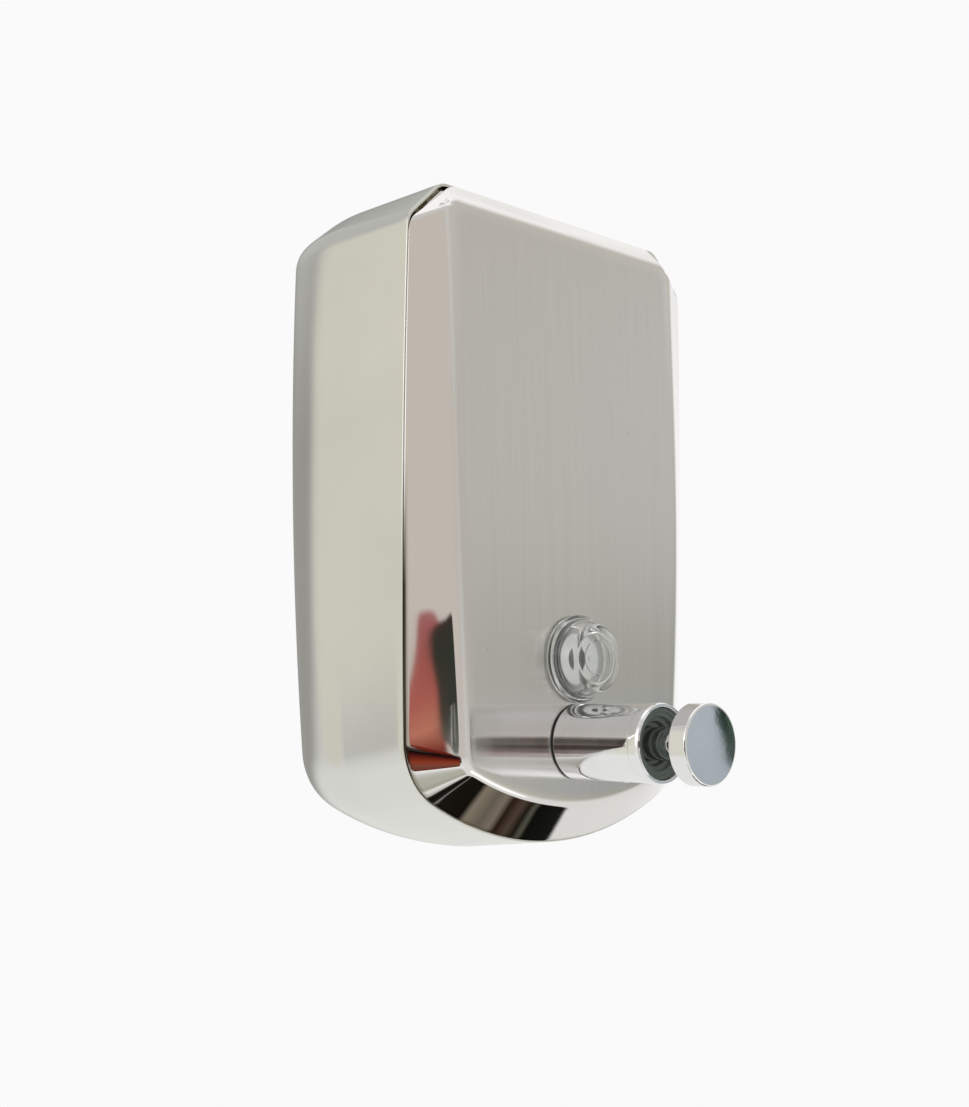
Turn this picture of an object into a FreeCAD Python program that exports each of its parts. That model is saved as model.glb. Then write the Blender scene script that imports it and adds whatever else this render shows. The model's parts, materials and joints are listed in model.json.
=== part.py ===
# Wall-mounted liquid soap dispenser with a push pump, in millimetres.
# The origin is the centre of the wall plate's screw pattern, on the wall.
# X runs to the right, Z up and -Y out of the wall, towards the user.

import FreeCAD, Part
import math
import os
import Sketcher
from FreeCAD import Placement, Rotation, Vector

# Tank: a drawn steel shell behind the seam, and a bevelled front cover before it

origin_up = 118.0  # screw pattern centre above the bottom of the seam outline
wall_gap = 5.0  # wall to the back of the tank
tank_depth = 62.0  # back of the tank to the seam
tank_height = 205.0  # bottom to top of the seam outline
sheet_thick = 1.0  # steel sheet of the shell and the cover
seam_gap = 0.35  # open line between the shell and the cover
widest_up = 137.0  # height at which the sides are widest

seam_half = 65.5  # half the width at the seam
seam_side_radius = 2900.0  # bow of the sides at the seam
seam_bottom_radius = 110.0  # bow of the bottom at the seam
seam_corner_radius = 22.5  # bottom corner at the seam
seam_chamfer_run = 13.5  # top corner cut of the shell, across
seam_chamfer_drop = 13.3  # top corner cut of the shell, down
cover_chamfer_run = 17.3  # top corner cut of the cover, across
cover_chamfer_drop = 15.1  # top corner cut of the cover, down

rear_half = 66.2  # half the width at the back
rear_side_radius = 1255.0  # bow of the sides at the back
rear_widest_up = 163.0  # height at which the back is widest
rear_bottom_radius = 100.7  # bow of the bottom at the back
rear_corner_radius = 24.6  # bottom corner at the back
rear_chamfer_run = 14.7  # top corner cut at the back, across
rear_chamfer_drop = 12.5  # top corner cut at the back, down
rear_sink = 3.5  # how much lower the bottom lies at the back
rear_edge_radius = 10.0  # drawn edge between the sides and the back

panel_half = 52.0  # half the width of the front panel
panel_side_radius = 808.0  # bow of the panel's sides
panel_widest_up = 127.0  # height at which the panel is widest
panel_bottom_up = 14.5  # bottom of the panel above the bottom of the seam
panel_bottom_radius = 108.0  # bow of the panel's bottom
panel_corner_radius = 4.1  # bottom corner of the panel
panel_top_drop = 9.4  # top of the panel below the top of the seam
panel_chamfer = 2.0  # top corner cut of the panel
facet_past = 0.3  # facet of the cover's top corner past that cut
bevel_depth = 10.9  # panel before the seam, at its bottom
bevel_depth_top = 5.3  # panel before the seam, at its top
flange_depth = 4.0  # cover's lip inside the shell
flange_clear = 0.2  # cover's lip to the shell's wall
flange_root = 0.5  # cover's lip inside its bevels
bevel_reach = 1.2  # bevels run this many bow heights past the panel before the bow cuts them
tool_reach = 20.0  # cutting forms run past the sheet

# Filler opening, lid, hinge and lock in the top wall

opening_half = 32.0  # half the width of the filler opening
opening_front = 12.5  # seam to the filler opening
opening_length = 26.0  # filler opening, front to back
opening_corner = 3.0  # corner radius of the filler opening
lid_overhang = 5.0  # lid beyond the opening, all round
lid_thick = 1.2  # sheet of the lid
lid_lift = 1.5  # top wall to the lid's underside
gasket_width = 3.5  # width of the lid's gasket
gasket_edge = 1.0  # lid's gasket inside the lid's edge
gasket_squeeze = 0.3  # gasket to the top wall
hinge_back = 3.0  # lid's rear edge to the hinge axis
hinge_rise = 2.5  # top wall to the hinge axis
knuckle_radius = 2.2  # hinge knuckle
hinge_pin_radius = 1.1  # hinge pin
hinge_play = 0.05  # pin to knuckle, radial
leaf_half = 11.8  # half the length of the middle knuckle
knuckle_gap = 0.3  # between knuckles, along the pin
knuckle_end = 30.0  # middle of the hinge to its end
leaf_thick = 0.8  # hinge leaf on the top wall
leaf_depth = 3.0  # hinge leaf, front to back
leaf_start = 2.5  # hinge axis to the leaf's front edge

lock_back = 10.0  # front of the opening to the lock's axis
lock_radius = 6.0  # threaded barrel of the lock
lock_flange_radius = 8.0  # flange of the lock
lock_flange_thick = 1.4  # flange of the lock above the lid
lock_length = 11.7  # lid's top to the end of the lock barrel
plug_radius = 4.0  # turning core of the lock
plug_play = 0.05  # core to barrel, radial
plug_recess = 0.3  # core below the flange's face
key_slot_width = 1.4  # key slot, across
key_slot_length = 5.4  # key slot, along
key_slot_depth = 7.0  # key slot, deep
cam_thick = 1.5  # plate of the lock's cam
cam_half = 4.0  # half the width of the cam
cam_overlap = 3.5  # cam's tip past the edge of the opening when locked
cam_clear = 0.6  # cam's tip to the underside of the top wall
cam_boss_radius = 2.5  # core's end that carries the cam
cam_fit = 0.05  # cam's hole round the core's end, radial
cam_screw_radius = 1.4  # screw that holds the cam
cam_screw_head = 3.2  # head radius of that screw
cam_screw_head_thick = 1.5  # head of that screw
cam_screw_length = 5.0  # screw inside the core
lock_nut_flats = 15.0  # lock's nut across flats
lock_nut_thick = 3.0  # lock's nut
nut_clear = 0.1  # thread of each nut round its shank, radial

# Pump through the front panel

pump_up = 32.0  # pump axis above the bottom of the seam
pump_gasket_thick = 0.6  # gasket behind the barrel
pump_gasket_inset = 0.4  # that gasket's edge inside the barrel's
barrel_radius = 12.0  # pump barrel
barrel_length = 31.0  # panel to the front of the barrel
shank_radius = 8.0  # threaded shank of the barrel
shank_length = 22.0  # shank behind the panel's face
hole_clear = 0.2  # panel holes round the shanks, radial
bore_radius = 6.0  # cylinder in which the piston runs
chamber_radius = 9.5  # spring chamber
chamber_floor = 3.0  # panel to the floor of the spring chamber
ring_radius = 12.3  # end ring of the barrel
ring_front = 35.2  # panel to the front of the end ring
ring_bevel = 0.9  # bevel of the end ring
ring_bore = 10.7  # mouth of the end ring
ring_step = 8.3  # inner step of the end ring
ring_mouth_depth = 2.0  # depth of the mouth of the end ring
ring_spigot = 1.0  # part of the end ring inside the barrel
spigot_clear = 0.1  # spigot and guide inside the barrel, radial
guide_length = 4.0  # stem guide
stem_play = 0.05  # stem in its guide, radial
stem_seal_depth = 1.5  # groove of the stem's seal
stem_seal_width = 1.6  # width of that groove
seal_clear = 0.05  # seals in their grooves

button_face = 53.2  # panel to the face of the button
button_radius = 12.3  # push button
button_thick = 6.5  # disc of the push button
button_round = 0.6  # rounded rim of the push button
stem_radius = 5.0  # stem of the button
flare_radius = 5.5  # flare between the stem and the disc
socket_depth = 9.0  # rod inside the stem
rod_radius = 3.0  # plunger rod
rod_bore = 1.2  # soap way through the rod
rod_bore_front = 16.0  # panel to the closed end of that way
rod_port_radius = 1.0  # side port of the rod
rod_port_front = 14.0  # panel to the side port
socket_clear = 0.05  # rod in its sockets, radial
washer_radius = 8.6  # spring washer
washer_thick = 1.0  # spring washer
stop_clear = 0.1  # washer to the guide at rest
piston_face = 11.0  # panel back to the piston's inner face
piston_length = 9.0  # piston
piston_play = 0.05  # piston in the cylinder, radial
piston_socket = 3.0  # rod inside the piston
piston_port = 1.0  # hole in the piston's face
piston_face_thick = 1.2  # wall round that hole
groove_radius = 4.7  # floor of the piston's groove
groove_width = 2.2  # groove for the piston's seal
groove_back = 2.8  # piston's inner face to the groove
outlet_ball_radius = 1.9  # check ball in the piston
outlet_ball_room = 0.2  # that ball in its chamber, radial
ball_seat_clear = 0.02  # balls off their seats

spring_wire = 1.0  # wire of the return spring
spring_mean = 6.8  # mean radius of the return spring
spring_turns = 7.0  # turns of the return spring
spring_end_clear = 0.1  # spring's ends to their seats

inner_gasket_thick = 1.5  # gaskets inside the panel
inner_gasket_radius = 12.0  # gaskets inside the panel
inner_gasket_clear = 0.17  # inner gaskets to the bowed panel
nut_seat_clear = 0.1  # nuts to the inner gaskets
pump_nut_flats = 22.0  # pump's nut across flats
pump_nut_thick = 5.5  # pump's nut

nozzle_front = 22.0  # panel to the outlet's axis
nozzle_radius = 2.8  # outlet nozzle
nozzle_bore = 1.6  # outlet
nozzle_clear = 0.1  # nozzle in the barrel, radial
nozzle_inside = 0.2  # nozzle past the barrel's inner wall

elbow_radius = 11.0  # inlet elbow round the shank
elbow_overlap = 7.0  # shank inside the inlet elbow
elbow_length = 16.0  # inlet elbow
elbow_way = 5.0  # inner way of the elbow
elbow_end_wall = 3.0  # closed end of the elbow
port_radius = 6.5  # downward port of the elbow
port_drop = 20.0  # pump axis to the end of the port
port_back = 2.7  # shank's end to the port's axis
cage_radius = 4.2  # ball cage in the port
cage_top = 9.0  # pump axis to the top of the cage
neck_radius = 2.6  # way above the cage
inlet_ball_radius = 3.2  # check ball of the inlet
seat_bore = 2.4  # seat of the inlet ball
seat_height = 4.0  # seat inside the port
suction_radius = 3.4  # suction tube
suction_flange = 1.5  # flange below the port
suction_clear = 5.0  # end of the suction tube above the tank's floor

# Sight glass

sight_up = 58.2  # sight glass above the bottom of the seam
sight_radius = 13.95  # rim of the sight glass
sight_rim = 2.2  # rim of the sight glass, thick
sight_shoulder = 1.0  # rim to the foot of the dome
sight_height = 9.6  # dome before the panel
sight_shank = 8.5  # threaded shank of the sight glass
sight_shank_length = 9.5  # that shank behind the panel
sight_well = 6.5  # hollow of the sight glass
sight_wall = 3.2  # dome's wall at its crown
sight_rim_slope = 0.55  # slope of the rim up to the dome
sight_well_soft = 0.8  # softened crown of the hollow
sight_seat = 0.05  # rim before the panel's foremost plane
sight_nut_flats = 21.0  # sight glass nut across flats
sight_nut_thick = 4.5  # sight glass nut

# Wall plate, hanger and bumpers

plate_width = 84.0  # wall plate
plate_height = 78.0  # wall plate
plate_thick = 1.2  # wall plate
plate_corner = 6.0  # corner of the wall plate
screw_spacing_x = 68.0  # wall screws, across
screw_spacing_z = 60.0  # wall screws, up
screw_hole = 2.6  # wall screw holes
hook_spacing = 28.0  # between the hooks
hook_width = 10.0  # hooks
hook_up = 14.0  # screw centre to the top of the hooks' necks
hook_neck = 1.5  # neck of the hooks, top to bottom
hook_lip = 7.0  # lip of the hooks above their necks
hook_thick = 1.0  # lip of the hooks
hanger_thick = 1.0  # sheet of the hanger
hanger_clear = 0.3  # wall plate to the hanger, and hanger to the lips
hanger_width = 48.0  # hanger
hanger_top = 38.0  # screw centre to the hanger's top
hanger_bottom = 30.0  # screw centre to the hanger's bottom
hanger_foot = 7.0  # welded feet of the hanger
slot_clear = 1.0  # hooks in the hanger's slots, each side
lift_travel = 8.0  # lift that frees the hooks
bumper_radius = 6.0  # rubber bumpers
bumper_inset = 0.3  # bumpers short of the wall
bumper_half = 30.0  # middle to the bumpers' centres
bumper_drop = 78.0  # screw centre to the bumpers' centres

doc = FreeCAD.newDocument("liquid_soap_dispenser")
sheet = doc.addObject("Spreadsheet::Sheet", "Sizes")
sheet_rows = []
pieces = []


class Size:
    """A size that knows its number and the sheet expression that it follows."""

    def __init__(self, text, number):
        self.text = text
        self.number = number

    def __float__(self):
        return float(self.number)

    def __neg__(self):
        return Size("(-%s)" % self.text, -self.number)

    def __add__(self, other):
        other = as_size(other)
        return Size("(%s + %s)" % (self.text, other.text), self.number + other.number)

    def __radd__(self, other):
        return as_size(other) + self

    def __sub__(self, other):
        other = as_size(other)
        return Size("(%s - %s)" % (self.text, other.text), self.number - other.number)

    def __rsub__(self, other):
        return as_size(other) - self

    def __mul__(self, other):
        other = as_size(other)
        return Size("(%s * %s)" % (self.text, other.text), self.number * other.number)

    def __rmul__(self, other):
        return as_size(other) * self

    def __truediv__(self, other):
        other = as_size(other)
        return Size("(%s / %s)" % (self.text, other.text), self.number / other.number)


def as_size(number):
    """Turn a bare number into a Size, and leave a Size as it is."""
    if isinstance(number, Size):
        return number
    return Size("%.9g" % number, float(number))


def root(size):
    """Give the square root of a size."""
    return Size("sqrt(%s)" % size.text, math.sqrt(float(size)))


def lean_of(sine):
    """Give the angle in degrees whose sine is given."""
    return Size("(asin(%s) / 1 deg)" % sine.text, math.degrees(math.asin(float(sine))))


def driving(alias, number):
    """Write one driving size into the next row of the sheet."""
    sheet_rows.append(alias)
    row = len(sheet_rows)
    sheet.set("A%d" % row, alias.replace("_", " "))
    sheet.set("B%d" % row, str(number))
    sheet.setAlias("B%d" % row, alias)
    return Size("Sizes.%s" % alias, float(number))


# Write each of these sizes into the sheet, and let its name stand for its cell from here on

for alias, number in [(name, value) for name, value in vars().items() if type(value) is float]:
    vars()[alias] = driving(alias, number)
doc.recompute()

# Places that the driving sizes give

bottom = -origin_up
top = tank_height - origin_up
seam_y = -(wall_gap + tank_depth)
panel_y = seam_y - bevel_depth
pump_z = pump_up - origin_up
sight_z = sight_up - origin_up
top_inside = top - sheet_thick
opening_y = seam_y + opening_front
opening_back_y = opening_y + opening_length
lid_front_y = opening_y - lid_overhang
lid_back_y = opening_back_y + lid_overhang
lid_under = top + lid_lift
lid_top = lid_under + lid_thick
hinge_y = lid_back_y + hinge_back
hinge_z = top + hinge_rise
lock_y = opening_y + lock_back
guide_front = barrel_length - ring_spigot
guide_back = guide_front - guide_length
shoulder = guide_back - stop_clear
tank_floor = pump_up - sheet_thick
bow_start = bottom + panel_bottom_up
bow_rise = top - panel_top_drop - bow_start
bow_back = bevel_depth - bevel_depth_top
bow_radius = (bow_rise * bow_rise + bow_back * bow_back) / (bow_back * 2)
sight_above = sight_z - bow_start
sight_face_y = panel_y + bow_radius - root(bow_radius * bow_radius - sight_above * sight_above)
sight_lean = lean_of(sight_above / bow_radius)


# Drawing helpers


def origin_plane(body, role):
    """Find one of a body's own origin planes."""
    for feature in body.Origin.OriginFeatures:
        if feature.Role == role:
            return feature
    raise RuntimeError("no plane " + role)


def new_body(label):
    """Start a sub-part whose label is its node's name."""
    body = doc.addObject("PartDesign::Body", label)
    pieces.append(body)
    return body


def new_sketch(body, name, role, offset=None):
    """Attach a sketch to a body's own plane, moved along its normal by a size."""
    sketch = body.newObject("Sketcher::SketchObject", name)
    sketch.AttachmentSupport = [(origin_plane(body, role), "")]
    sketch.MapMode = "FlatFace"
    if offset is not None:
        sketch.AttachmentOffset = Placement(Vector(0, 0, float(offset)), Rotation())
        sketch.setExpression("AttachmentOffset.Base.z", as_size(offset).text)
    return sketch


def hold(sketch, kind, edge, end, length):
    """Hold one end of an edge at a distance from the sketch's origin."""
    axis = -2 if kind == "DistanceX" else -1
    if not isinstance(length, Size) and length == 0:
        sketch.addConstraint(Sketcher.Constraint("PointOnObject", edge, end, axis))
        return
    length = as_size(length)
    number = sketch.addConstraint(Sketcher.Constraint(kind, -1, 1, edge, end, float(length)))
    sketch.setExpression("Constraints[%d]" % number, length.text)


def arc_between(start, end, radius, side):
    """Give the arc of a radius from start to end, bulging to the left (1) or right (-1)."""
    chord = end - start
    half = chord.Length / 2
    sagitta = radius - math.sqrt(max(radius * radius - half * half, 0.0))
    left = Vector(-chord.y, chord.x, 0).normalize()
    middle = (start + end) * 0.5 + left * (sagitta * side)
    return Part.Arc(start, middle, end)


def draw(sketch, corners, arcs=None):
    """Draw a closed outline; arcs names the edges that are arcs, with radius and side."""
    arcs = arcs or {}
    spots = [Vector(float(as_size(x)), float(as_size(y)), 0) for x, y in corners]
    count = len(spots)
    ends = []
    for i in range(count):
        start, end = spots[i], spots[(i + 1) % count]
        if i in arcs:
            radius, side = arcs[i]
            sketch.addGeometry(arc_between(start, end, float(radius), side), False)
            ends.append((1, 2) if side < 0 else (2, 1))
        else:
            sketch.addGeometry(Part.LineSegment(start, end), False)
            ends.append((1, 2))
    for i in range(count):
        after = (i + 1) % count
        sketch.addConstraint(
            Sketcher.Constraint("Coincident", i, ends[i][1], after, ends[after][0])
        )
    for i, (x, y) in enumerate(corners):
        hold(sketch, "DistanceX", i, ends[i][0], x)
        hold(sketch, "DistanceY", i, ends[i][0], y)
    for i in arcs:
        number = sketch.addConstraint(Sketcher.Constraint("Radius", i, float(arcs[i][0])))
        sketch.setExpression("Constraints[%d]" % number, as_size(arcs[i][0]).text)


def draw_circles(sketch, circles):
    """Draw circles, each given by its centre and radius."""
    for i, (x, y, radius) in enumerate(circles):
        centre = Vector(float(as_size(x)), float(as_size(y)), 0)
        sketch.addGeometry(Part.Circle(centre, Vector(0, 0, 1), float(radius)), False)
        hold(sketch, "DistanceX", i, 3, x)
        hold(sketch, "DistanceY", i, 3, y)
        number = sketch.addConstraint(Sketcher.Constraint("Radius", i, float(radius)))
        sketch.setExpression("Constraints[%d]" % number, as_size(radius).text)


def rectangle(x0, x1, y0, y1):
    """Give the corners of a rectangle."""
    return [(x0, y0), (x1, y0), (x1, y1), (x0, y1)]


def pad(body, name, sketch, length, symmetric=False, reverse=False):
    """Pad a sketch by a size."""
    feature = body.newObject("PartDesign::Pad", name)
    feature.Profile = sketch
    feature.setExpression("Length", as_size(length).text)
    feature.Midplane = symmetric
    feature.Reversed = reverse
    sketch.Visibility = False
    return feature


def pocket(body, name, sketch, length=None, symmetric=False, reverse=False):
    """Cut a sketch into a body, by a size or right through, and see that it cuts."""
    doc.recompute()
    before = body.Shape.Volume
    feature = body.newObject("PartDesign::Pocket", name)
    feature.Profile = sketch
    if length is None:
        feature.Type = "ThroughAll"
    else:
        feature.setExpression("Length", as_size(length).text)
    feature.Midplane = symmetric
    feature.Reversed = reverse
    doc.recompute()
    if body.Shape.Volume >= before:
        raise RuntimeError(name + " cuts nothing")
    return feature


def soften(body, name, kind, size, choose):
    """Fillet or chamfer the edges that a test picks."""
    doc.recompute()
    base = body.Tip
    edges = ["Edge%d" % n for n, edge in enumerate(base.Shape.Edges, 1) if choose(edge)]
    feature = body.newObject("PartDesign::" + kind, name)
    feature.Base = (base, edges)
    feature.setExpression("Radius" if kind == "Fillet" else "Size", as_size(size).text)
    return feature


def upright(edge):
    """Pick straight edges along Z."""
    way = edge.tangentAt(edge.FirstParameter)
    return edge.Curve.TypeId == "Part::GeomLine" and abs(way.z) > 0.999


def level_y(edge):
    """Pick straight edges along Y."""
    way = edge.tangentAt(edge.FirstParameter)
    return edge.Curve.TypeId == "Part::GeomLine" and abs(way.y) > 0.999


def place(piece, x=0, y=0, z=0, turn=0):
    """Set a sub-part's place from sizes, turned about X by some degrees."""
    spots = [as_size(value) for value in (x, y, z)]
    turn = as_size(turn)
    piece.Placement = Placement(Vector(*map(float, spots)), Rotation(Vector(1, 0, 0), float(turn)))
    for letter, value in zip("xyz", spots):
        piece.setExpression("Placement.Base." + letter, value.text)
    if float(turn):
        piece.setExpression("Placement.Rotation.Angle", turn.text)


def turned(label, profile, arcs=None):
    """Turn a profile of (radius, height) corners about the body's Z axis."""
    body = new_body(label)
    sketch = new_sketch(body, label + "_profile", "XZ_Plane")
    draw(sketch, profile, arcs)
    feature = body.newObject("PartDesign::Revolution", label + "_turn")
    feature.Profile = sketch
    feature.ReferenceAxis = (sketch, ["V_Axis"])
    feature.Angle = 360
    return body


def on_pump_axis(piece):
    """Stand a turned piece out of the panel, on the pump's axis."""
    place(piece, y=panel_y, z=pump_z, turn=90)


def on_sight_axis(piece):
    """Stand a turned piece out of the panel, square to its bow at the sight glass."""
    place(piece, y=sight_face_y, z=sight_z, turn=90 - sight_lean)


def on_lock_axis(piece):
    """Stand a piece upright on the lock's axis, from the outside of the top wall."""
    place(piece, y=lock_y, z=top)


def ring(label, inner, outer, low, high):
    """Turn a plain ring."""
    return turned(label, [(inner, low), (outer, low), (outer, high), (inner, high)])


def hex_nut(label, flats, bore, low, thick):
    """Make a hexagon nut about the Z axis from a prism and a cylinder."""
    corner = flats / root(as_size(3))
    block = doc.addObject("Part::Prism", label + "_block")
    block.Polygon = 6
    block.setExpression("Circumradius", corner.text)
    block.setExpression("Height", as_size(thick).text)
    thread = doc.addObject("Part::Cylinder", label + "_thread")
    thread.setExpression("Radius", as_size(bore).text)
    thread.setExpression("Height", as_size(thick).text)
    for part in (block, thread):
        part.setExpression("Placement.Base.z", as_size(low).text)
    nut = doc.addObject("Part::Cut", label)
    nut.Base = block
    nut.Tool = thread
    pieces.append(nut)
    return nut


# Outlines of the tank


def circles_meet(first, first_radius, second, second_radius):
    """Give the lower crossing of two circles in the XZ plane."""
    gap = second - first
    span = gap.Length
    along = (first_radius ** 2 - second_radius ** 2 + span ** 2) / (2 * span)
    across = math.sqrt(first_radius ** 2 - along ** 2)
    unit = gap * (1 / span)
    side = Vector(unit.z, 0, -unit.x)
    middle = first + unit * along
    choices = [middle + side * across, middle - side * across]
    return min(choices, key=lambda spot: spot.z)


def outline(half, side_radius, widest, low, bottom_radius, corner, high, run, drop, inset=0.0):
    """Draw the tank's outline in the XZ plane, drawn in by an inset all round.

    The sides and the bottom are bowed, the bottom corners are round and the top
    corners are cut straight.
    """
    half, side_radius = float(half) - inset, float(side_radius) - inset
    bottom_radius, corner = float(bottom_radius) - inset, float(corner) - inset
    low, high = float(low) + inset, float(high) - inset
    slant = inset * (1 - math.tan(math.pi / 8))
    run, drop = float(run) - slant, float(drop) - slant
    side_middle = Vector(side_radius - half, 0, float(widest))
    bottom_middle = Vector(0, 0, low + bottom_radius)
    corner_middle = circles_meet(
        side_middle, side_radius - corner, bottom_middle, bottom_radius - corner
    )

    def on_side(z):
        reach = math.sqrt(side_radius ** 2 - (z - side_middle.z) ** 2)
        return Vector(side_middle.x - reach, 0, z)

    def away(middle, radius):
        return corner_middle + (corner_middle - middle).normalize() * radius

    side_end = away(side_middle, corner)
    bottom_end = away(bottom_middle, corner)
    between = ((side_end + bottom_end) * 0.5 - corner_middle).normalize()
    corner_top = corner_middle + between * corner
    side_top = on_side(high - drop)
    side_half = on_side((side_top.z + side_end.z) / 2)
    roof = Vector(side_top.x + run, 0, high)

    def mirrored(spot):
        return Vector(-spot.x, spot.y, spot.z)

    return Part.Wire(
        [
            Part.makeLine(mirrored(roof), roof),
            Part.makeLine(roof, side_top),
            Part.Arc(side_top, side_half, side_end).toShape(),
            Part.Arc(side_end, corner_top, bottom_end).toShape(),
            Part.Arc(bottom_end, Vector(0, 0, low), mirrored(bottom_end)).toShape(),
            Part.Arc(mirrored(bottom_end), mirrored(corner_top), mirrored(side_end)).toShape(),
            Part.Arc(mirrored(side_end), mirrored(side_half), mirrored(side_top)).toShape(),
            Part.makeLine(mirrored(side_top), mirrored(roof)),
        ]
    )


def seam_outline(run, drop, inset=0.0):
    """Draw the outline at the seam, with the top corner cut of the shell or the cover."""
    return outline(
        seam_half, seam_side_radius, widest_up - origin_up, bottom, seam_bottom_radius,
        seam_corner_radius, top, run, drop, inset,
    )


def cover_outline(inset=0.0):
    """Draw the cover's outline at the seam."""
    return seam_outline(cover_chamfer_run, cover_chamfer_drop, inset)


def rear_outline(inset=0.0):
    """Draw the outline at the back of the tank."""
    return outline(
        rear_half, rear_side_radius, rear_widest_up - origin_up, bottom - rear_sink,
        rear_bottom_radius, rear_corner_radius, top, rear_chamfer_run, rear_chamfer_drop, inset,
    )


def panel_outline(inset=0.0):
    """Draw the outline in which the bevels of the cover end."""
    return outline(
        panel_half, panel_side_radius, panel_widest_up - origin_up, bottom + panel_bottom_up,
        panel_bottom_radius, panel_corner_radius, top - panel_top_drop, panel_chamfer,
        panel_chamfer, inset,
    )


def moved(wire, y, lean=0.0, pivot=0.0):
    """Move an outline to a depth, leaning back about a level line."""
    wire = wire.copy()
    wire.rotate(Vector(0, 0, pivot), Vector(1, 0, 0), lean)
    wire.translate(Vector(0, y, 0))
    return wire


def bow_block(inset):
    """Make the block whose front is the panel's bowed face, drawn in by an inset."""
    start, rise, radius = float(bow_start), float(bow_rise), float(bow_radius)
    front = float(panel_y) + inset
    margin = float(tool_reach)

    def face_y(z):
        return front + radius - math.sqrt(radius ** 2 - (z - start) ** 2)

    low, high = start - margin, start + rise + margin
    middle = (low + high) / 2
    back = float(seam_y) + margin
    spots = [
        Vector(0, back, high), Vector(0, back, low),
        Vector(0, face_y(low), low), Vector(0, face_y(high), high),
    ]
    arc = Part.Arc(spots[2], Vector(0, face_y(middle), middle), spots[3]).toShape()
    lines = [
        Part.makeLine(spots[3], spots[0]),
        Part.makeLine(spots[0], spots[1]),
        Part.makeLine(spots[1], spots[2]),
    ]
    wide = float(seam_half) + margin
    face = Part.Face(Part.Wire(lines + [arc]))
    face.translate(Vector(-wide, 0, 0))
    return face.extrude(Vector(2 * wide, 0, 0))


def corner_block(near, far, cut, depth):
    """Make the block that takes off the cover's top left corner.

    Its face is the facet through the corner cut at the seam and the panel's corner.
    """
    start, end = near.Edges[1].CenterOfMass, far.Edges[1].CenterOfMass
    corner = start + (end - start) * ((depth - start.y) / (end.y - start.y))
    corner += Vector(1, 0, -1).normalize() * float(facet_past)
    roof, side = [vertex.Point for vertex in cut.Edges[1].Vertexes]
    along = (side - roof).normalize()
    out = along.cross(corner - roof).normalize()
    if out.z < 0:
        out = out * -1
    across = out.cross(along)
    reach = float(tool_reach)
    spots = [corner + along * (i * reach) + across * (j * reach) for i, j in ((-1, -1), (1, -1), (1, 1), (-1, 1))]
    return Part.Face(Part.makePolygon(spots + spots[:1])).extrude(out * reach)


def cover_form(inset, depth_inset):
    """Make the cover's form: bevels from the seam to the panel, a facet at each top
    corner, and the bow that cuts them."""
    rise = float(bow_rise)
    sagitta = rise * rise / (8 * float(bow_radius))
    lean = math.degrees(math.atan2(float(bow_back), rise))
    beyond = float(panel_y) - sagitta * float(bevel_reach)
    near = moved(seam_outline(panel_chamfer, panel_chamfer, inset), float(seam_y))
    far = moved(panel_outline(inset), beyond, -lean, float(bow_start))
    form = Part.makeLoft([near, far], True, True).common(bow_block(depth_inset))
    cut = moved(cover_outline(inset), float(seam_y))
    left = corner_block(near, far, cut, float(panel_y + bow_back) + depth_inset)
    right = left.mirror(Vector(0, 0, 0), Vector(1, 0, 0))
    return form.cut(left).cut(right)


def front_hole(radius, z):
    """Make the tool for a round hole through the front panel."""
    length = float(bevel_depth) * 2
    return Part.makeCylinder(
        float(radius), length, Vector(0, float(panel_y) - length / 2, float(z)), Vector(0, 1, 0)
    )


def prism(wire, y0, y1):
    """Extrude an outline from one depth to another."""
    face = Part.Face(moved(wire, y0))
    return face.extrude(Vector(0, y1 - y0, 0))


def feature(label, shape):
    """Keep a shape as a sub-part."""
    piece = doc.addObject("Part::Feature", label)
    piece.Shape = shape
    pieces.append(piece)
    return piece


def make_front_cover():
    """Make the bevelled front cover with its lip and its two holes."""
    thick = float(sheet_thick)
    shell = cover_form(0.0, 0.0).cut(cover_form(thick * math.sqrt(2), thick))
    outer = float(sheet_thick + flange_clear)
    lip_front = float(seam_y - flange_root)
    lip_back = float(seam_y + flange_depth)
    lip = prism(cover_outline(outer), lip_front, lip_back)
    lip = lip.cut(prism(cover_outline(outer + thick), lip_front, lip_back))
    cover = shell.fuse(lip)
    cover = cover.cut(front_hole(shank_radius + hole_clear, pump_z))
    cover = cover.cut(front_hole(sight_shank + hole_clear, sight_z))
    return feature("front_cover", cover)


def shell_form(inset, edge_radius, front):
    """Make the shell's form: a slight taper, then a straight end with a rounded edge."""
    back = -float(wall_gap) - inset
    taper_end = -float(wall_gap) - float(rear_edge_radius) - float(sheet_thick)
    mouth = seam_outline(seam_chamfer_run, seam_chamfer_drop, inset)
    taper = Part.makeLoft(
        [moved(mouth, front), moved(rear_outline(inset), taper_end)], True, True
    )
    end = prism(rear_outline(inset), taper_end, back)
    rear = [edge for edge in end.Edges if all(abs(v.Y - back) < 1e-4 for v in edge.Vertexes)]
    return taper.fuse(end.makeFillet(edge_radius, rear))


def make_rear_shell():
    """Make the drawn shell, open at the front, with the filler opening in its top."""
    thick = float(sheet_thick)
    front = float(seam_y + seam_gap)
    outer = shell_form(0.0, float(rear_edge_radius), front)
    inner = shell_form(thick, float(rear_edge_radius) - thick, front)
    half = float(opening_half)
    reach = float(tool_reach)
    opening = Part.makeBox(
        2 * half, float(opening_length), reach,
        Vector(-half, float(opening_y), float(top) - reach / 2),
    )
    opening = opening.makeFillet(float(opening_corner), [e for e in opening.Edges if upright(e)])
    return feature("rear_shell", outer.cut(inner).cut(opening))


make_rear_shell()
make_front_cover()


# Wall plate with two hooks, and the hanger that drops onto them

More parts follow.
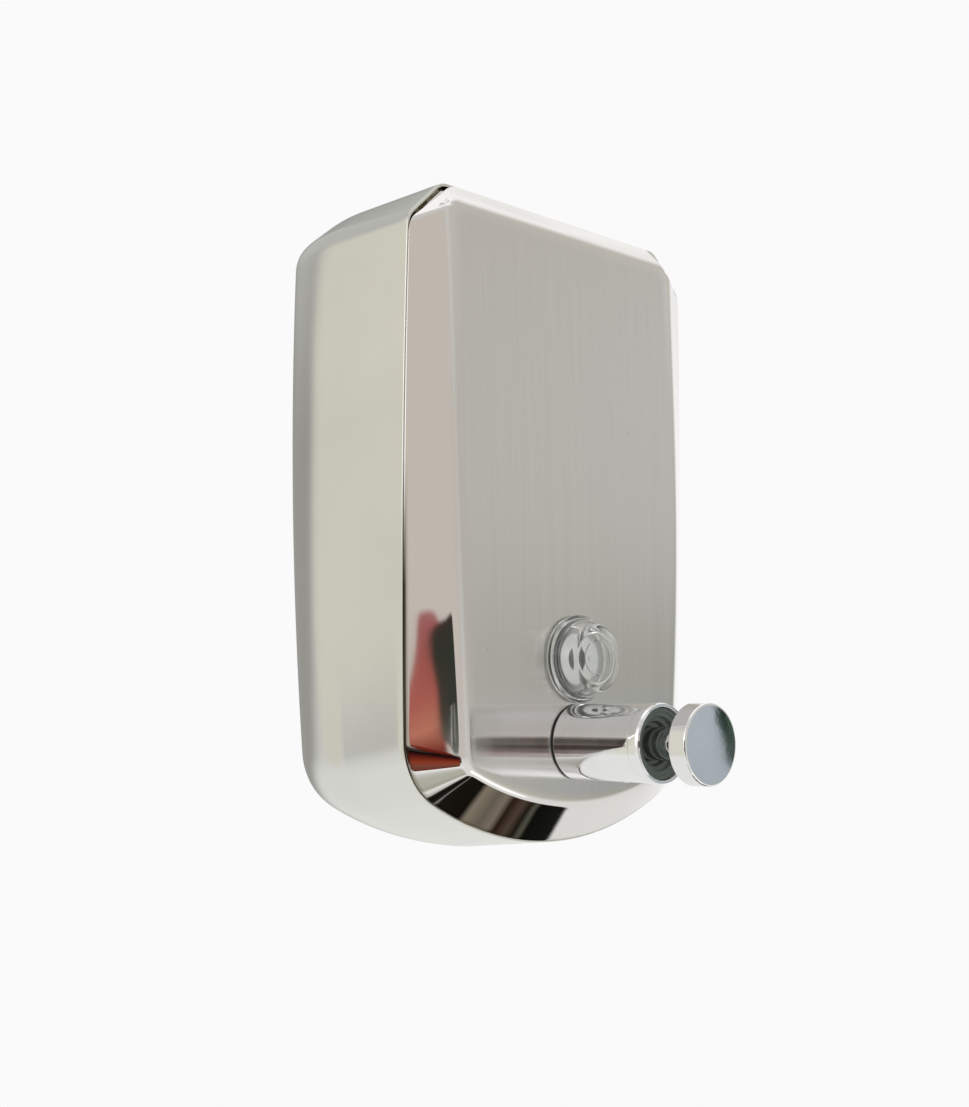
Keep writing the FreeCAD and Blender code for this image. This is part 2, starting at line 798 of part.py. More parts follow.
plate = new_body("wall_plate")
plate_sketch = new_sketch(plate, "plate_outline", "XZ_Plane")
draw(plate_sketch, rectangle(-plate_width / 2, plate_width / 2, -plate_height / 2, plate_height / 2))
pad(plate, "plate_pad", plate_sketch, plate_thick)
soften(plate, "plate_corners", "Fillet", plate_corner, level_y)
hole_sketch = new_sketch(plate, "screw_holes", "XZ_Plane")
draw_circles(
    hole_sketch,
    [
        (x * screw_spacing_x / 2, z * screw_spacing_z / 2, screw_hole)
        for x in (-1, 1)
        for z in (-1, 1)
    ],
)
pocket(plate, "screw_hole_cut", hole_sketch, symmetric=True)
lip_y = -(plate_thick + hanger_clear + hanger_thick + hanger_clear)
hook_profile = [
    (0, hook_up - hook_neck),
    (lip_y - hook_thick, hook_up - hook_neck),
    (lip_y - hook_thick, hook_up + hook_lip),
    (lip_y, hook_up + hook_lip),
    (lip_y, hook_up),
    (0, hook_up),
]
for name, way in (("left", -1), ("right", 1)):
    hook_sketch = new_sketch(plate, name + "_hook_profile", "YZ_Plane", way * hook_spacing / 2)
    draw(hook_sketch, hook_profile)
    pad(plate, name + "_hook", hook_sketch, hook_width, symmetric=True)

hanger_front = wall_gap
hanger_back = plate_thick + hanger_clear
hanger = new_body("hanger_plate")
hanger_sketch = new_sketch(hanger, "hanger_profile", "YZ_Plane")
outer_y = -hanger_back
inner_y = -(hanger_back + hanger_thick)
weld_y = -hanger_front
foot_y = -(hanger_front - hanger_thick)
draw(
    hanger_sketch,
    [
        (weld_y, hanger_top),
        (foot_y, hanger_top),
        (foot_y, hanger_top - hanger_foot),
        (outer_y, hanger_top - hanger_foot),
        (outer_y, hanger_foot - hanger_bottom),
        (foot_y, hanger_foot - hanger_bottom),
        (foot_y, -hanger_bottom),
        (weld_y, -hanger_bottom),
        (weld_y, hanger_foot - hanger_bottom + hanger_thick),
        (inner_y, hanger_foot - hanger_bottom + hanger_thick),
        (inner_y, hanger_top - hanger_foot - hanger_thick),
        (weld_y, hanger_top - hanger_foot - hanger_thick),
    ],
)
pad(hanger, "hanger_pad", hanger_sketch, hanger_width, symmetric=True)
slot_low = hook_up - hook_neck - lift_travel - slot_clear / 2
for name, way in (("left", -1), ("right", 1)):
    middle = way * hook_spacing / 2
    half = hook_width / 2 + slot_clear
    slot_sketch = new_sketch(hanger, name + "_slot", "XZ_Plane")
    draw(slot_sketch, rectangle(middle - half, middle + half, slot_low, hook_up))
    pocket(hanger, name + "_slot_cut", slot_sketch, symmetric=True)

bumper_length = wall_gap - bumper_inset
bumper_pair = doc.addObject("Part::MultiFuse", "wall_bumpers")
bumper_shapes = []
for name, way in (("left", -1), ("right", 1)):
    bumper = doc.addObject("Part::Cylinder", name + "_bumper")
    bumper.setExpression("Radius", bumper_radius.text)
    bumper.setExpression("Height", bumper_length.text)
    place(bumper, way * bumper_half, -bumper_inset, -bumper_drop, 90)
    bumper_shapes.append(bumper)
bumper_pair.Shapes = bumper_shapes
pieces.append(bumper_pair)


# Lid, gasket and hinge

hinge_drop = hinge_z - top
lid = new_body("filler_lid")
lid_sketch = new_sketch(lid, "lid_outline", "XY_Plane", lid_lift)
lid_half = opening_half + lid_overhang
draw(lid_sketch, rectangle(-lid_half, lid_half, lid_front_y, lid_back_y))
pad(lid, "lid_pad", lid_sketch, lid_thick)
soften(lid, "lid_corners", "Fillet", opening_corner, upright)
ear_length = knuckle_end - leaf_half - knuckle_gap
ear_middle = (knuckle_end + leaf_half + knuckle_gap) / 2
for name, way in (("left", -1), ("right", 1)):
    ear_sketch = new_sketch(lid, name + "_ear_profile", "YZ_Plane", way * ear_middle)
    draw(
        ear_sketch,
        [
            (lid_back_y - lid_overhang / 2, lid_lift),
            (hinge_y, lid_lift),
            (hinge_y, lid_lift + lid_thick),
            (lid_back_y - lid_overhang / 2, lid_lift + lid_thick),
        ],
    )
    pad(lid, name + "_ear", ear_sketch, ear_length, symmetric=True)
    eye_sketch = new_sketch(lid, name + "_eye_profile", "YZ_Plane", way * ear_middle)
    draw_circles(eye_sketch, [(hinge_y, hinge_rise, knuckle_radius)])
    pad(lid, name + "_eye", eye_sketch, ear_length, symmetric=True)
pin_way_sketch = new_sketch(lid, "pin_way", "YZ_Plane")
draw_circles(pin_way_sketch, [(hinge_y, hinge_rise, hinge_pin_radius + hinge_play)])
pocket(lid, "pin_way_cut", pin_way_sketch, symmetric=True)
lock_hole_sketch = new_sketch(lid, "lock_hole", "XY_Plane")
draw_circles(lock_hole_sketch, [(0, lock_y, lock_radius + nut_clear)])
pocket(lid, "lock_hole_cut", lock_hole_sketch, symmetric=True)
place(lid, z=top)

gasket = new_body("lid_gasket")
gasket_sketch = new_sketch(gasket, "gasket_outline", "XY_Plane", gasket_squeeze)
gasket_half = lid_half - gasket_edge
draw(
    gasket_sketch,
    rectangle(-gasket_half, gasket_half, lid_front_y + gasket_edge, lid_back_y - gasket_edge),
)
pad(gasket, "gasket_pad", gasket_sketch, lid_lift - gasket_squeeze)
soften(gasket, "gasket_corners", "Fillet", opening_corner - gasket_edge, upright)
gasket_way = new_sketch(gasket, "gasket_inside", "XY_Plane")
inner_half = gasket_half - gasket_width
draw(
    gasket_way,
    rectangle(
        -inner_half, inner_half,
        lid_front_y + gasket_edge + gasket_width, lid_back_y - gasket_edge - gasket_width,
    ),
)
pocket(gasket, "gasket_inside_cut", gasket_way, symmetric=True)
place(gasket, z=top)

leaf = new_body("hinge_leaf")
leaf_sketch = new_sketch(leaf, "leaf_profile", "YZ_Plane")
leaf_front = hinge_y + leaf_start
draw(
    leaf_sketch,
    [
        (leaf_front, 0),
        (leaf_front + leaf_depth, 0),
        (leaf_front + leaf_depth, leaf_thick),
        (leaf_front, leaf_thick),
    ],
)
pad(leaf, "leaf_pad", leaf_sketch, knuckle_end * 2, symmetric=True)
leaf_neck = new_sketch(leaf, "leaf_neck_profile", "YZ_Plane")
draw(
    leaf_neck,
    [
        (hinge_y, 0),
        (leaf_front + leaf_depth / 2, 0),
        (leaf_front + leaf_depth / 2, leaf_thick),
        (hinge_y + knuckle_radius / 2, hinge_rise),
        (hinge_y, hinge_rise),
    ],
)
pad(leaf, "leaf_neck", leaf_neck, leaf_half * 2, symmetric=True)
leaf_eye = new_sketch(leaf, "leaf_eye_profile", "YZ_Plane")
draw_circles(leaf_eye, [(hinge_y, hinge_rise, knuckle_radius)])
pad(leaf, "leaf_eye", leaf_eye, leaf_half * 2, symmetric=True)
leaf_pin_way = new_sketch(leaf, "leaf_pin_way", "YZ_Plane")
draw_circles(leaf_pin_way, [(hinge_y, hinge_rise, hinge_pin_radius + hinge_play)])
pocket(leaf, "leaf_pin_way_cut", leaf_pin_way, symmetric=True)
place(leaf, z=top)

hinge_pin = new_body("hinge_pin")
hinge_pin_sketch = new_sketch(hinge_pin, "hinge_pin_profile", "YZ_Plane")
draw_circles(hinge_pin_sketch, [(hinge_y, hinge_rise, hinge_pin_radius)])
pad(hinge_pin, "hinge_pin_pad", hinge_pin_sketch, knuckle_end * 2, symmetric=True)
place(hinge_pin, z=top)


# Lock in the lid

lock_lid_top = lid_lift + lid_thick
lock_face = lock_lid_top + lock_flange_thick
lock_end = lock_lid_top - lock_length
lock_barrel = turned(
    "lock_barrel",
    [
        (plug_radius + plug_play, lock_end),
        (lock_radius, lock_end),
        (lock_radius, lock_lid_top),
        (lock_flange_radius, lock_lid_top),
        (lock_flange_radius, lock_face),
        (plug_radius + plug_play, lock_face),
    ],
)
on_lock_axis(lock_barrel)

cam_top = lock_end - plug_recess
cam_bottom = cam_top - cam_thick
screw_top = cam_bottom + cam_screw_length
lock_plug = turned(
    "lock_plug",
    [
        (cam_screw_radius + cam_fit, cam_bottom),
        (cam_boss_radius, cam_bottom),
        (cam_boss_radius, cam_top),
        (plug_radius, cam_top),
        (plug_radius, lock_face - plug_recess),
        (0, lock_face - plug_recess),
        (0, screw_top + cam_fit),
        (cam_screw_radius + cam_fit, screw_top + cam_fit),
    ],
)
key_sketch = new_sketch(lock_plug, "key_slot", "XY_Plane", lock_face - plug_recess)
draw(
    key_sketch,
    rectangle(-key_slot_length / 2, key_slot_length / 2, -key_slot_width / 2, key_slot_width / 2),
)
pocket(lock_plug, "key_slot_cut", key_sketch, key_slot_depth)
on_lock_axis(lock_plug)

cam_reach = lock_back + cam_overlap
cam = new_body("lock_cam")
cam_sketch = new_sketch(cam, "cam_outline", "XY_Plane", cam_bottom)
draw(cam_sketch, rectangle(-cam_half, cam_reach, -cam_half, cam_half))
pad(cam, "cam_pad", cam_sketch, cam_thick)
tip_sketch = new_sketch(cam, "cam_tip", "XY_Plane", cam_bottom)
draw(tip_sketch, rectangle(cam_reach - cam_thick, cam_reach, -cam_half, cam_half))
pad(cam, "cam_tip_pad", tip_sketch, -(sheet_thick + cam_clear) - cam_bottom)
cam_hole = new_sketch(cam, "cam_hole", "XY_Plane")
draw_circles(cam_hole, [(0, 0, cam_boss_radius + cam_fit)])
pocket(cam, "cam_hole_cut", cam_hole, symmetric=True)
on_lock_axis(cam)

cam_screw = turned(
    "cam_screw",
    [
        (0, cam_bottom - cam_screw_head_thick),
        (cam_screw_head, cam_bottom - cam_screw_head_thick),
        (cam_screw_head, cam_bottom),
        (cam_screw_radius, cam_bottom),
        (cam_screw_radius, screw_top),
        (0, screw_top),
    ],
)
on_lock_axis(cam_screw)

lock_nut = hex_nut(
    "lock_nut", lock_nut_flats, lock_radius + nut_clear, lid_lift - lock_nut_thick, lock_nut_thick
)
on_lock_axis(lock_nut)


# Pump barrel and what holds it

barrel = turned(
    "pump_barrel",
    [
        (bore_radius, -shank_length),
        (shank_radius, -shank_length),
        (shank_radius, pump_gasket_thick),
        (barrel_radius, pump_gasket_thick),
        (barrel_radius, barrel_length),
        (chamber_radius, barrel_length),
        (chamber_radius, chamber_floor),
        (bore_radius, chamber_floor),
    ],
)
outlet_sketch = new_sketch(barrel, "outlet_hole", "XZ_Plane")
draw_circles(outlet_sketch, [(0, nozzle_front, nozzle_radius + nozzle_clear)])
pocket(barrel, "outlet_hole_cut", outlet_sketch, barrel_radius * 2, reverse=True)
on_pump_axis(barrel)

on_pump_axis(
    ring(
        "barrel_gasket", shank_radius + hole_clear, barrel_radius - pump_gasket_inset,
        0, pump_gasket_thick,
    )
)
inner_seat = -(sheet_thick + inner_gasket_clear)
inner_seat_end = inner_seat - inner_gasket_thick
on_pump_axis(
    ring("pump_gasket", shank_radius + nut_clear, inner_gasket_radius, inner_seat_end, inner_seat)
)
pump_nut_low = inner_seat_end - nut_seat_clear - pump_nut_thick
on_pump_axis(
    hex_nut("pump_nut", pump_nut_flats, shank_radius + nut_clear, pump_nut_low, pump_nut_thick)
)

guide_bore = stem_radius + stem_play
seal_low = guide_back + (guide_length - stem_seal_width) / 2
seal_high = seal_low + stem_seal_width
on_pump_axis(
    turned(
        "stem_guide",
        [
            (guide_bore, guide_back),
            (chamber_radius - spigot_clear, guide_back),
            (chamber_radius - spigot_clear, guide_front),
            (guide_bore, guide_front),
            (guide_bore, seal_high),
            (guide_bore + stem_seal_depth, seal_high),
            (guide_bore + stem_seal_depth, seal_low),
            (guide_bore, seal_low),
        ],
    )
)
on_pump_axis(
    ring(
        "stem_seal", guide_bore, guide_bore + stem_seal_depth - seal_clear,
        seal_low + seal_clear, seal_high - seal_clear,
    )
)
on_pump_axis(
    turned(
        "barrel_ring",
        [
            (ring_step, guide_front),
            (chamber_radius - spigot_clear, guide_front),
            (chamber_radius - spigot_clear, barrel_length),
            (ring_radius, barrel_length),
            (ring_radius, ring_front - ring_bevel),
            (ring_radius - ring_bevel, ring_front),
            (ring_bore, ring_front),
            (ring_bore, ring_front - ring_mouth_depth),
            (ring_step, ring_front - ring_mouth_depth),
        ],
    )
)
nozzle_high = chamber_radius - nozzle_inside
nozzle = ring(
    "outlet_nozzle", nozzle_bore, nozzle_radius, -barrel_radius, -nozzle_high
)
place(nozzle, y=panel_y - nozzle_front, z=pump_z)


# Moving plunger: button, rod, washer, piston and seal

disc_back = button_face - button_thick
socket_end = shoulder + socket_depth
on_pump_axis(
    turned(
        "push_button",
        [
            (rod_radius + socket_clear, shoulder),
            (stem_radius, shoulder),
            (stem_radius, disc_back - flare_radius),
            (stem_radius + flare_radius, disc_back),
            (button_radius - button_round, disc_back),
            (button_radius, disc_back + button_round),
            (button_radius, button_face - button_round),
            (button_radius - button_round, button_face),
            (0, button_face),
            (0, socket_end),
            (rod_radius + socket_clear, socket_end),
        ],
        {2: (flare_radius, 1), 4: (button_round, -1), 6: (button_round, -1)},
    )
)
piston_front = piston_length - piston_face
rod_end = piston_front - piston_socket
rod = turned(
    "plunger_rod",
    [
        (rod_bore, rod_end),
        (rod_radius, rod_end),
        (rod_radius, socket_end - socket_clear),
        (0, socket_end - socket_clear),
        (0, rod_bore_front),
        (rod_bore, rod_bore_front),
    ],
)
port_sketch = new_sketch(rod, "side_port", "XZ_Plane")
draw_circles(port_sketch, [(0, rod_port_front, rod_port_radius)])
pocket(rod, "side_port_cut", port_sketch, symmetric=True)
on_pump_axis(rod)
on_pump_axis(
    ring("spring_washer", rod_radius + socket_clear, washer_radius, shoulder - washer_thick, shoulder)
)
piston_radius = bore_radius - piston_play
groove_low = groove_back - piston_face
groove_high = groove_low + groove_width
ball_way = outlet_ball_radius + outlet_ball_room
outlet_seat = piston_face_thick - piston_face
on_pump_axis(
    turned(
        "piston",
        [
            (piston_port, -piston_face),
            (piston_radius, -piston_face),
            (piston_radius, groove_low),
            (groove_radius, groove_low),
            (groove_radius, groove_high),
            (piston_radius, groove_high),
            (piston_radius, piston_front),
            (rod_radius + socket_clear, piston_front),
            (rod_radius + socket_clear, rod_end),
            (ball_way, rod_end),
            (ball_way, outlet_seat),
            (piston_port, outlet_seat),
        ],
    )
)
on_pump_axis(
    ring(
        "piston_seal", groove_radius + seal_clear, piston_radius,
        groove_low + seal_clear, groove_high - seal_clear,
    )
)


def on_edge(ball_radius, hole_radius):
    """Give how far a ball's centre stands off the edge of the hole it rests on."""
    ball_radius, hole_radius = as_size(ball_radius), as_size(hole_radius)
    return root(ball_radius * ball_radius - hole_radius * hole_radius)


def ball(label, radius, **spot):
    """Make a check ball at a place."""
    piece = doc.addObject("Part::Sphere", label)
    piece.setExpression("Radius", radius.text)
    place(piece, **spot)
    pieces.append(piece)
    return piece


outlet_ball_out = outlet_seat + on_edge(outlet_ball_radius, piston_port) + ball_seat_clear
ball("outlet_ball", outlet_ball_radius, y=panel_y - outlet_ball_out, z=pump_z)


# Return spring: one wire wound on a helix between the chamber's floor and the washer


def make_return_spring():
    """Sweep the wire's section along the helix of the spring."""
    wire = float(spring_wire) / 2
    low = float(chamber_floor + spring_end_clear) + wire
    high = float(shoulder - washer_thick - spring_end_clear) - wire
    length = high - low
    mean = float(spring_mean)
    path = Part.Wire(Part.makeLongHelix(length / float(spring_turns), length, mean).Edges)
    path.translate(Vector(0, 0, low))
    section = Part.Wire(Part.makeCircle(wire, Vector(mean, 0, low), Vector(0, 1, 0)))
    piece = feature("return_spring", path.makePipeShell([section], True, True))
    on_pump_axis(piece)


make_return_spring()


# Inlet elbow with its ball, seat and suction tube


def cylinder(name, radius, height, up=0, along=0, turn=0):
    """Make one cylinder of a boolean, in the frame of the pump's axis."""
    piece = doc.addObject("Part::Cylinder", name)
    piece.setExpression("Radius", as_size(radius).text)
    piece.setExpression("Height", as_size(height).text)
    place(piece, y=-as_size(up), z=along, turn=turn)
    return piece


port_axis = -(shank_length + port_back)
elbow_front = elbow_overlap - shank_length
elbow_back = elbow_front - elbow_length
elbow_out = doc.addObject("Part::MultiFuse", "elbow_outside")
elbow_out.Shapes = [
    cylinder("elbow_cup", elbow_radius, elbow_length, along=elbow_back),
    cylinder("elbow_port", port_radius, port_drop, along=port_axis, turn=90),
]
elbow_in = doc.addObject("Part::MultiFuse", "elbow_inside")
elbow_in.Shapes = [
    cylinder("elbow_socket", shank_radius + nut_clear, elbow_overlap, along=-shank_length),
    cylinder(
        "elbow_way_bore", elbow_way, elbow_length - elbow_overlap - elbow_end_wall,
        along=elbow_back + elbow_end_wall,
    ),
    cylinder("elbow_neck", neck_radius, port_drop, along=port_axis, turn=90),
    cylinder(
        "elbow_cage", cage_radius, port_drop - cage_top, up=cage_top, along=port_axis, turn=90
    ),
]
elbow = doc.addObject("Part::Cut", "inlet_elbow")
elbow.Base = elbow_out
elbow.Tool = elbow_in
pieces.append(elbow)
on_pump_axis(elbow)

port_y = panel_y - port_axis
seat_top = port_drop - seat_height
suction_end = tank_floor - suction_clear
suction = turned(
    "suction_tube",
    [
        (seat_bore, -suction_end),
        (suction_radius, -suction_end),
        (suction_radius, -(port_drop + suction_flange)),
        (port_radius, -(port_drop + suction_flange)),
        (port_radius, -port_drop),
        (cage_radius - seal_clear, -port_drop),
        (cage_radius - seal_clear, -seat_top),
        (seat_bore, -seat_top),
    ],
)
place(suction, y=port_y, z=pump_z)
inlet_ball_up = on_edge(inlet_ball_radius, seat_bore) - seat_top + ball_seat_clear
ball("inlet_ball", inlet_ball_radius, y=port_y, z=pump_z + inlet_ball_up)


# Sight glass, gasket and nut

dome_foot = sight_seat + sight_rim
dome_rise = sight_height - dome_foot
foot_radius = sight_radius - sight_shoulder
dome_radius = (foot_radius * foot_radius + dome_rise * dome_rise) / (dome_rise * 2)
well_top = sight_height - sight_wall
on_sight_axis(
    turned(
        "sight_glass",
        [
            (sight_well, -sight_shank_length),
            (sight_shank, -sight_shank_length),
            (sight_shank, sight_seat),
            (sight_radius, sight_seat),
            (sight_radius, dome_foot - sight_rim_slope),
            (foot_radius, dome_foot),
            (0, sight_height),
            (0, well_top),
            (sight_well - sight_well_soft, well_top - sight_well_soft / 2),
            (sight_well, well_top - sight_well_soft * 2),
        ],
        {5: (dome_radius, -1)},
    )
)
on_sight_axis(
    ring("sight_gasket", sight_shank + nut_clear, inner_gasket_radius, inner_seat_end, inner_seat)
)
sight_nut_low = inner_seat_end - nut_seat_clear - sight_nut_thick
on_sight_axis(
    hex_nut("sight_nut", sight_nut_flats, sight_shank + nut_clear, sight_nut_low, sight_nut_thick)
)


# Check every object and write one file for each sub-part

doc.recompute()
for item in doc.Objects:
    if "Invalid" in item.State or "Error" in item.State:
        raise RuntimeError("%s failed: %s" % (item.Name, item.State))
os.makedirs("parts", exist_ok=True)
for piece in pieces:
    shape = piece.Shape
    if shape.isNull() or not shape.isValid():
        raise RuntimeError(piece.Label + " has no valid shape")
    shape.exportStep("parts/%s.step" % piece.Label)
    box = shape.BoundBox
    print(
        "%-15s solids %d  volume %9.1f  y %7.2f %7.2f  z %8.2f %8.2f"
        % (piece.Label, len(shape.Solids), shape.Volume, box.YMin, box.YMax, box.ZMin, box.ZMax)
    )
print("sub-parts:", len(pieces))
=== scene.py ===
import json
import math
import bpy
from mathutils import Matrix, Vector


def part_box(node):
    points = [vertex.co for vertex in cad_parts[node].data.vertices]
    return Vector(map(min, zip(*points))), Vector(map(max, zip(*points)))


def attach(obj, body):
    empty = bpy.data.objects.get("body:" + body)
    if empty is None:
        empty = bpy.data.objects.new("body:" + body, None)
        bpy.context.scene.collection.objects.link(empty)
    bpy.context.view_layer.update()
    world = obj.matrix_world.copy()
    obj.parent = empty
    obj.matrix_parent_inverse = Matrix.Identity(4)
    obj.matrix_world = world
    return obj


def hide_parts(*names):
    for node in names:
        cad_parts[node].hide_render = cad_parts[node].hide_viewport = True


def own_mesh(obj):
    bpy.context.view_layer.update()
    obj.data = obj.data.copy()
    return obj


bl_info = {
    "name": "Liquid soap dispenser",
    "version": (1, 0, 0),
    "blender": (4, 5, 0),
    "location": "3D View > Sidebar > Soap",
    "description": "Dresses a wall-mounted liquid soap dispenser in polished steel, chrome and clear plastic",
    "category": "Object",
}

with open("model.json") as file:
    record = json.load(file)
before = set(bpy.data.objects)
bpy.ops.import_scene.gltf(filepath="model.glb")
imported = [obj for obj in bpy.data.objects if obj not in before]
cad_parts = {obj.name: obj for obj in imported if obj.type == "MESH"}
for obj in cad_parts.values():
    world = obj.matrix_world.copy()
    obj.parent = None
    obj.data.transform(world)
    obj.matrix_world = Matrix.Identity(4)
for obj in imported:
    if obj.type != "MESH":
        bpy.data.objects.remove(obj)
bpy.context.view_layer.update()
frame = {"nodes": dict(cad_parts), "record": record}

import bmesh
import bpy
from bpy.props import BoolProperty, FloatProperty, FloatVectorProperty, PointerProperty
from mathutils import Matrix, Vector

BODY_OF = {
    node: body for body, nodes in frame["record"]["behaviour"]["bodies"].items() for node in nodes
}
MM = 0.001
SHARP = math.radians(40)  # folds steeper than this stay crisp
LEAD = 0.12  # straight bit beside each rounding, in mm, so that flat faces shade flat


# Places and measures of the tank, in millimetres


def spans(node):
    """Give a node's lowest and highest corners in millimetres."""
    low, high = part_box(node)
    return low / MM, high / MM


SHEET = 1
COVER_LIP = 4  # how far the cover's lip goes into the shell
PANEL_RISE = 10.9  # how far the foot of the panel stands in front of the seam
COVER_HIGH = spans("front_cover")[1]
TOP = COVER_HIGH.z
FLOOR_UP = TOP - 205
SEAM_Y = COVER_HIGH.y - COVER_LIP
PANEL_Y = SEAM_Y - PANEL_RISE
BACK_Y = spans("rear_shell")[1].y
PUMP_Z = sum(corner.z for corner in spans("pump_barrel")) / 2
SIGHT_Z = FLOOR_UP + 58.2
PANEL_FOOT = FLOOR_UP + 14.5
PANEL_TOP = TOP - 9.4
BOW_BACK = 5.6  # how far the bowed panel leans back at its top
BOW_RISE = PANEL_TOP - PANEL_FOOT
BOW_RADIUS = (BOW_RISE ** 2 + BOW_BACK ** 2) / (2 * BOW_BACK)

# Outlines: half the width, side radius, widest place, lowest place, bottom radius, corner and highest place
SEAM = (65.5, 2900, FLOOR_UP + 137, FLOOR_UP, 110, 22.5, TOP)
REAR = (66.2, 1255, FLOOR_UP + 163, FLOOR_UP - 3.45, 100.7, 24.6, TOP)
PANEL = (52, 808, FLOOR_UP + 127, PANEL_FOOT, 108, 4.1, PANEL_TOP)

# The cut of their top corners by (run, drop), and with how far its folds are rounded
REAR_CUT = (14.7, 12.5)
SHELL_CUT = (13.5, 13.3)
LIP_CUT = (*SHELL_CUT, 2.2)
COVER_CUT = (17.3, 15.1, 3.2)
PANEL_CUT = (2.3, 2.3, 1.2)


# Sizes and colours that a user would change


def number(name, default, text, low, high):
    """Make one number setting."""
    return FloatProperty(name=name, description=text, default=default, min=low, max=high, precision=2)


def tint(name, default, text):
    """Make one colour setting."""
    return FloatVectorProperty(
        name=name, description=text, default=default, subtype="COLOR", size=3, min=0, max=1
    )


class SteelSettings(bpy.types.PropertyGroup):
    """Shell and cover."""

    crease: number("Crease", 3, "Softness of the folds round the front panel, in mm", 0.2, 8)
    corner: number("Corner", 4.5, "Softness of the cut top corners, in mm", 0.2, 8)
    turn: number("Turn", 26, "How far the sides turn in before the back, in mm", 10, 40)
    tuck: number("Tuck", 7, "How much the sides turn in at the back, in mm", 3, 12)
    rim: number("Rim", 0.8, "Rolled edge of the cover at the seam, in mm", 0.1, 2)
    steel: tint("Steel", (0.78, 0.775, 0.745), "Colour of the polished shell")
    panel: tint("Panel", (0.72, 0.7, 0.69), "Colour of the brushed panel")


class PumpSettings(bpy.types.PropertyGroup):
    """Barrel, ring, button and spring."""

    edge: number("Edge", 0.35, "Rounded edges of the chromed pieces, in mm", 0.05, 1)
    chrome: tint("Chrome", (0.86, 0.86, 0.87), "Colour of the chrome")
    turns: number("Turns", 7, "Turns of the return spring", 3, 12)
    wire: number("Wire", 1, "Wire of the return spring, in mm", 0.4, 1.6)


class StudioSettings(bpy.types.PropertyGroup):
    """Camera and light."""

    level: number("Level", 1, "Brightness of the soft surroundings", 0, 2)
    lens: number("Lens", 51.35, "Focal length of the camera, in mm", 20, 120)
    cards: BoolProperty(name="Cards", description="Dark cards that the polished steel mirrors", default=True)


# Path and mesh helpers: every number that goes in is in millimetres


def clamp(value, low=0.0, high=1.0):
    """Keep a number between two others."""
    return min(max(value, low), high)


def bent(start, knee, end, t):
    """Give the spot at t on the curve from start to end that a knee pulls aside."""
    return start * (1 - t) ** 2 + knee * 2 * t * (1 - t) + end * t * t


def arc(middle, start, end, steps):
    """Sample the shorter arc about a middle from start to end."""
    first = start - middle
    angle = first.angle_signed(end - middle)
    return [middle + Matrix.Rotation(-angle * k / steps, 2) @ first for k in range(steps + 1)]


def oblong(x, low, high):
    """Give the corners of a rectangle that is 2x wide and goes from low to high."""
    return [(-x, low), (x, low), (x, high), (-x, high)]


def soften(corners):
    """Round a closed outline's corners; each is (r, a, radius), or (r, a) to stay sharp."""
    path = []
    for i, (r, a, *radius) in enumerate(corners):
        spot = Vector((r, a))
        if not radius:
            path.append(spot)
            continue
        before = Vector(corners[i - 1][:2]) - spot
        after = Vector(corners[(i + 1) % len(corners)][:2]) - spot
        half = before.angle(after) / 2
        reach = min(radius[0] / math.tan(half), before.length * 0.49, after.length * 0.49)
        before.normalize()
        after.normalize()
        middle = spot + (before + after).normalized() * (reach * math.tan(half) / math.sin(half))
        start, end = spot + before * reach, spot + after * reach
        lead = min(LEAD, reach)
        path += [start + before * lead, *arc(middle, start, end, 6), end + after * lead]
    return path


def thread(root, crest, start, turns, flanks):
    """Give the outline of a thread that rises 1 mm each turn."""
    steps = list(zip((root, crest, crest, root), (0, *flanks)))
    return [(r, start + k + up) for k in range(turns) for r, up in steps]


def build_mesh(name, verts, faces):
    """Make a mesh in metres from millimetres, with its faces turned outwards."""
    mesh = bpy.data.meshes.new(name)
    mesh.from_pydata([tuple(c * MM for c in v) for v in verts], [], faces)
    work = bmesh.new()
    work.from_mesh(mesh)
    bmesh.ops.remove_doubles(work, verts=work.verts, dist=1e-6)
    bmesh.ops.recalc_face_normals(work, faces=work.faces)
    work.to_mesh(mesh)
    work.free()
    mesh.polygons.foreach_set("use_smooth", [True] * len(mesh.polygons))
    mesh.set_sharp_from_angle(angle=SHARP)
    return mesh


def turned_mesh(name, corners, place, sides=128):
    """Turn a closed outline about a place's axis; points on the axis become one point."""
    verts, rows = [], []
    for r, a in soften(corners):
        if abs(r) < 1e-6:
            rows.append([len(verts)] * sides)
            verts.append(place @ Vector((0, 0, a)))
            continue
        rows.append(list(range(len(verts), len(verts) + sides)))
        for k in range(sides):
            angle = 2 * math.pi * k / sides
            verts.append(place @ Vector((r * math.cos(angle), r * math.sin(angle), a)))
    faces = []
    for low, high in zip(rows, rows[1:] + rows[:1]):
        if low[0] == low[1] and high[0] == high[1]:
            continue
        for k in range(sides):
            n = (k + 1) % sides
            faces.append(tuple(dict.fromkeys((low[k], low[n], high[n], high[k]))))
    return build_mesh(name, verts, faces)


def rod(radius, low, high, place, sides=96):
    """Make a round rod along a place's axis, to cut with."""
    return turned_mesh("rod", [(0, low), (radius, low), (radius, high), (0, high)], place, sides)


def rings_mesh(name, rings, caps=True):
    """Skin closed rings of equal length, with a flat face over each end if wanted."""
    verts = [spot for ring in rings for spot in ring]
    size = len(rings[0])
    last = len(verts) - size
    faces = []
    for i in range(0, last, size):
        for k in range(size):
            n = (k + 1) % size
            faces.append((i + k, i + n, i + size + n, i + size + k))
    if caps:
        faces += [tuple(range(size)), tuple(range(last, last + size))]
    return build_mesh(name, verts, faces)


def prism(name, ring, low, high):
    """Stand a flat ring of (x, y) up from low to high."""
    return rings_mesh(name, [[Vector((x, y, z)) for x, y in ring] for z in (low, high)])


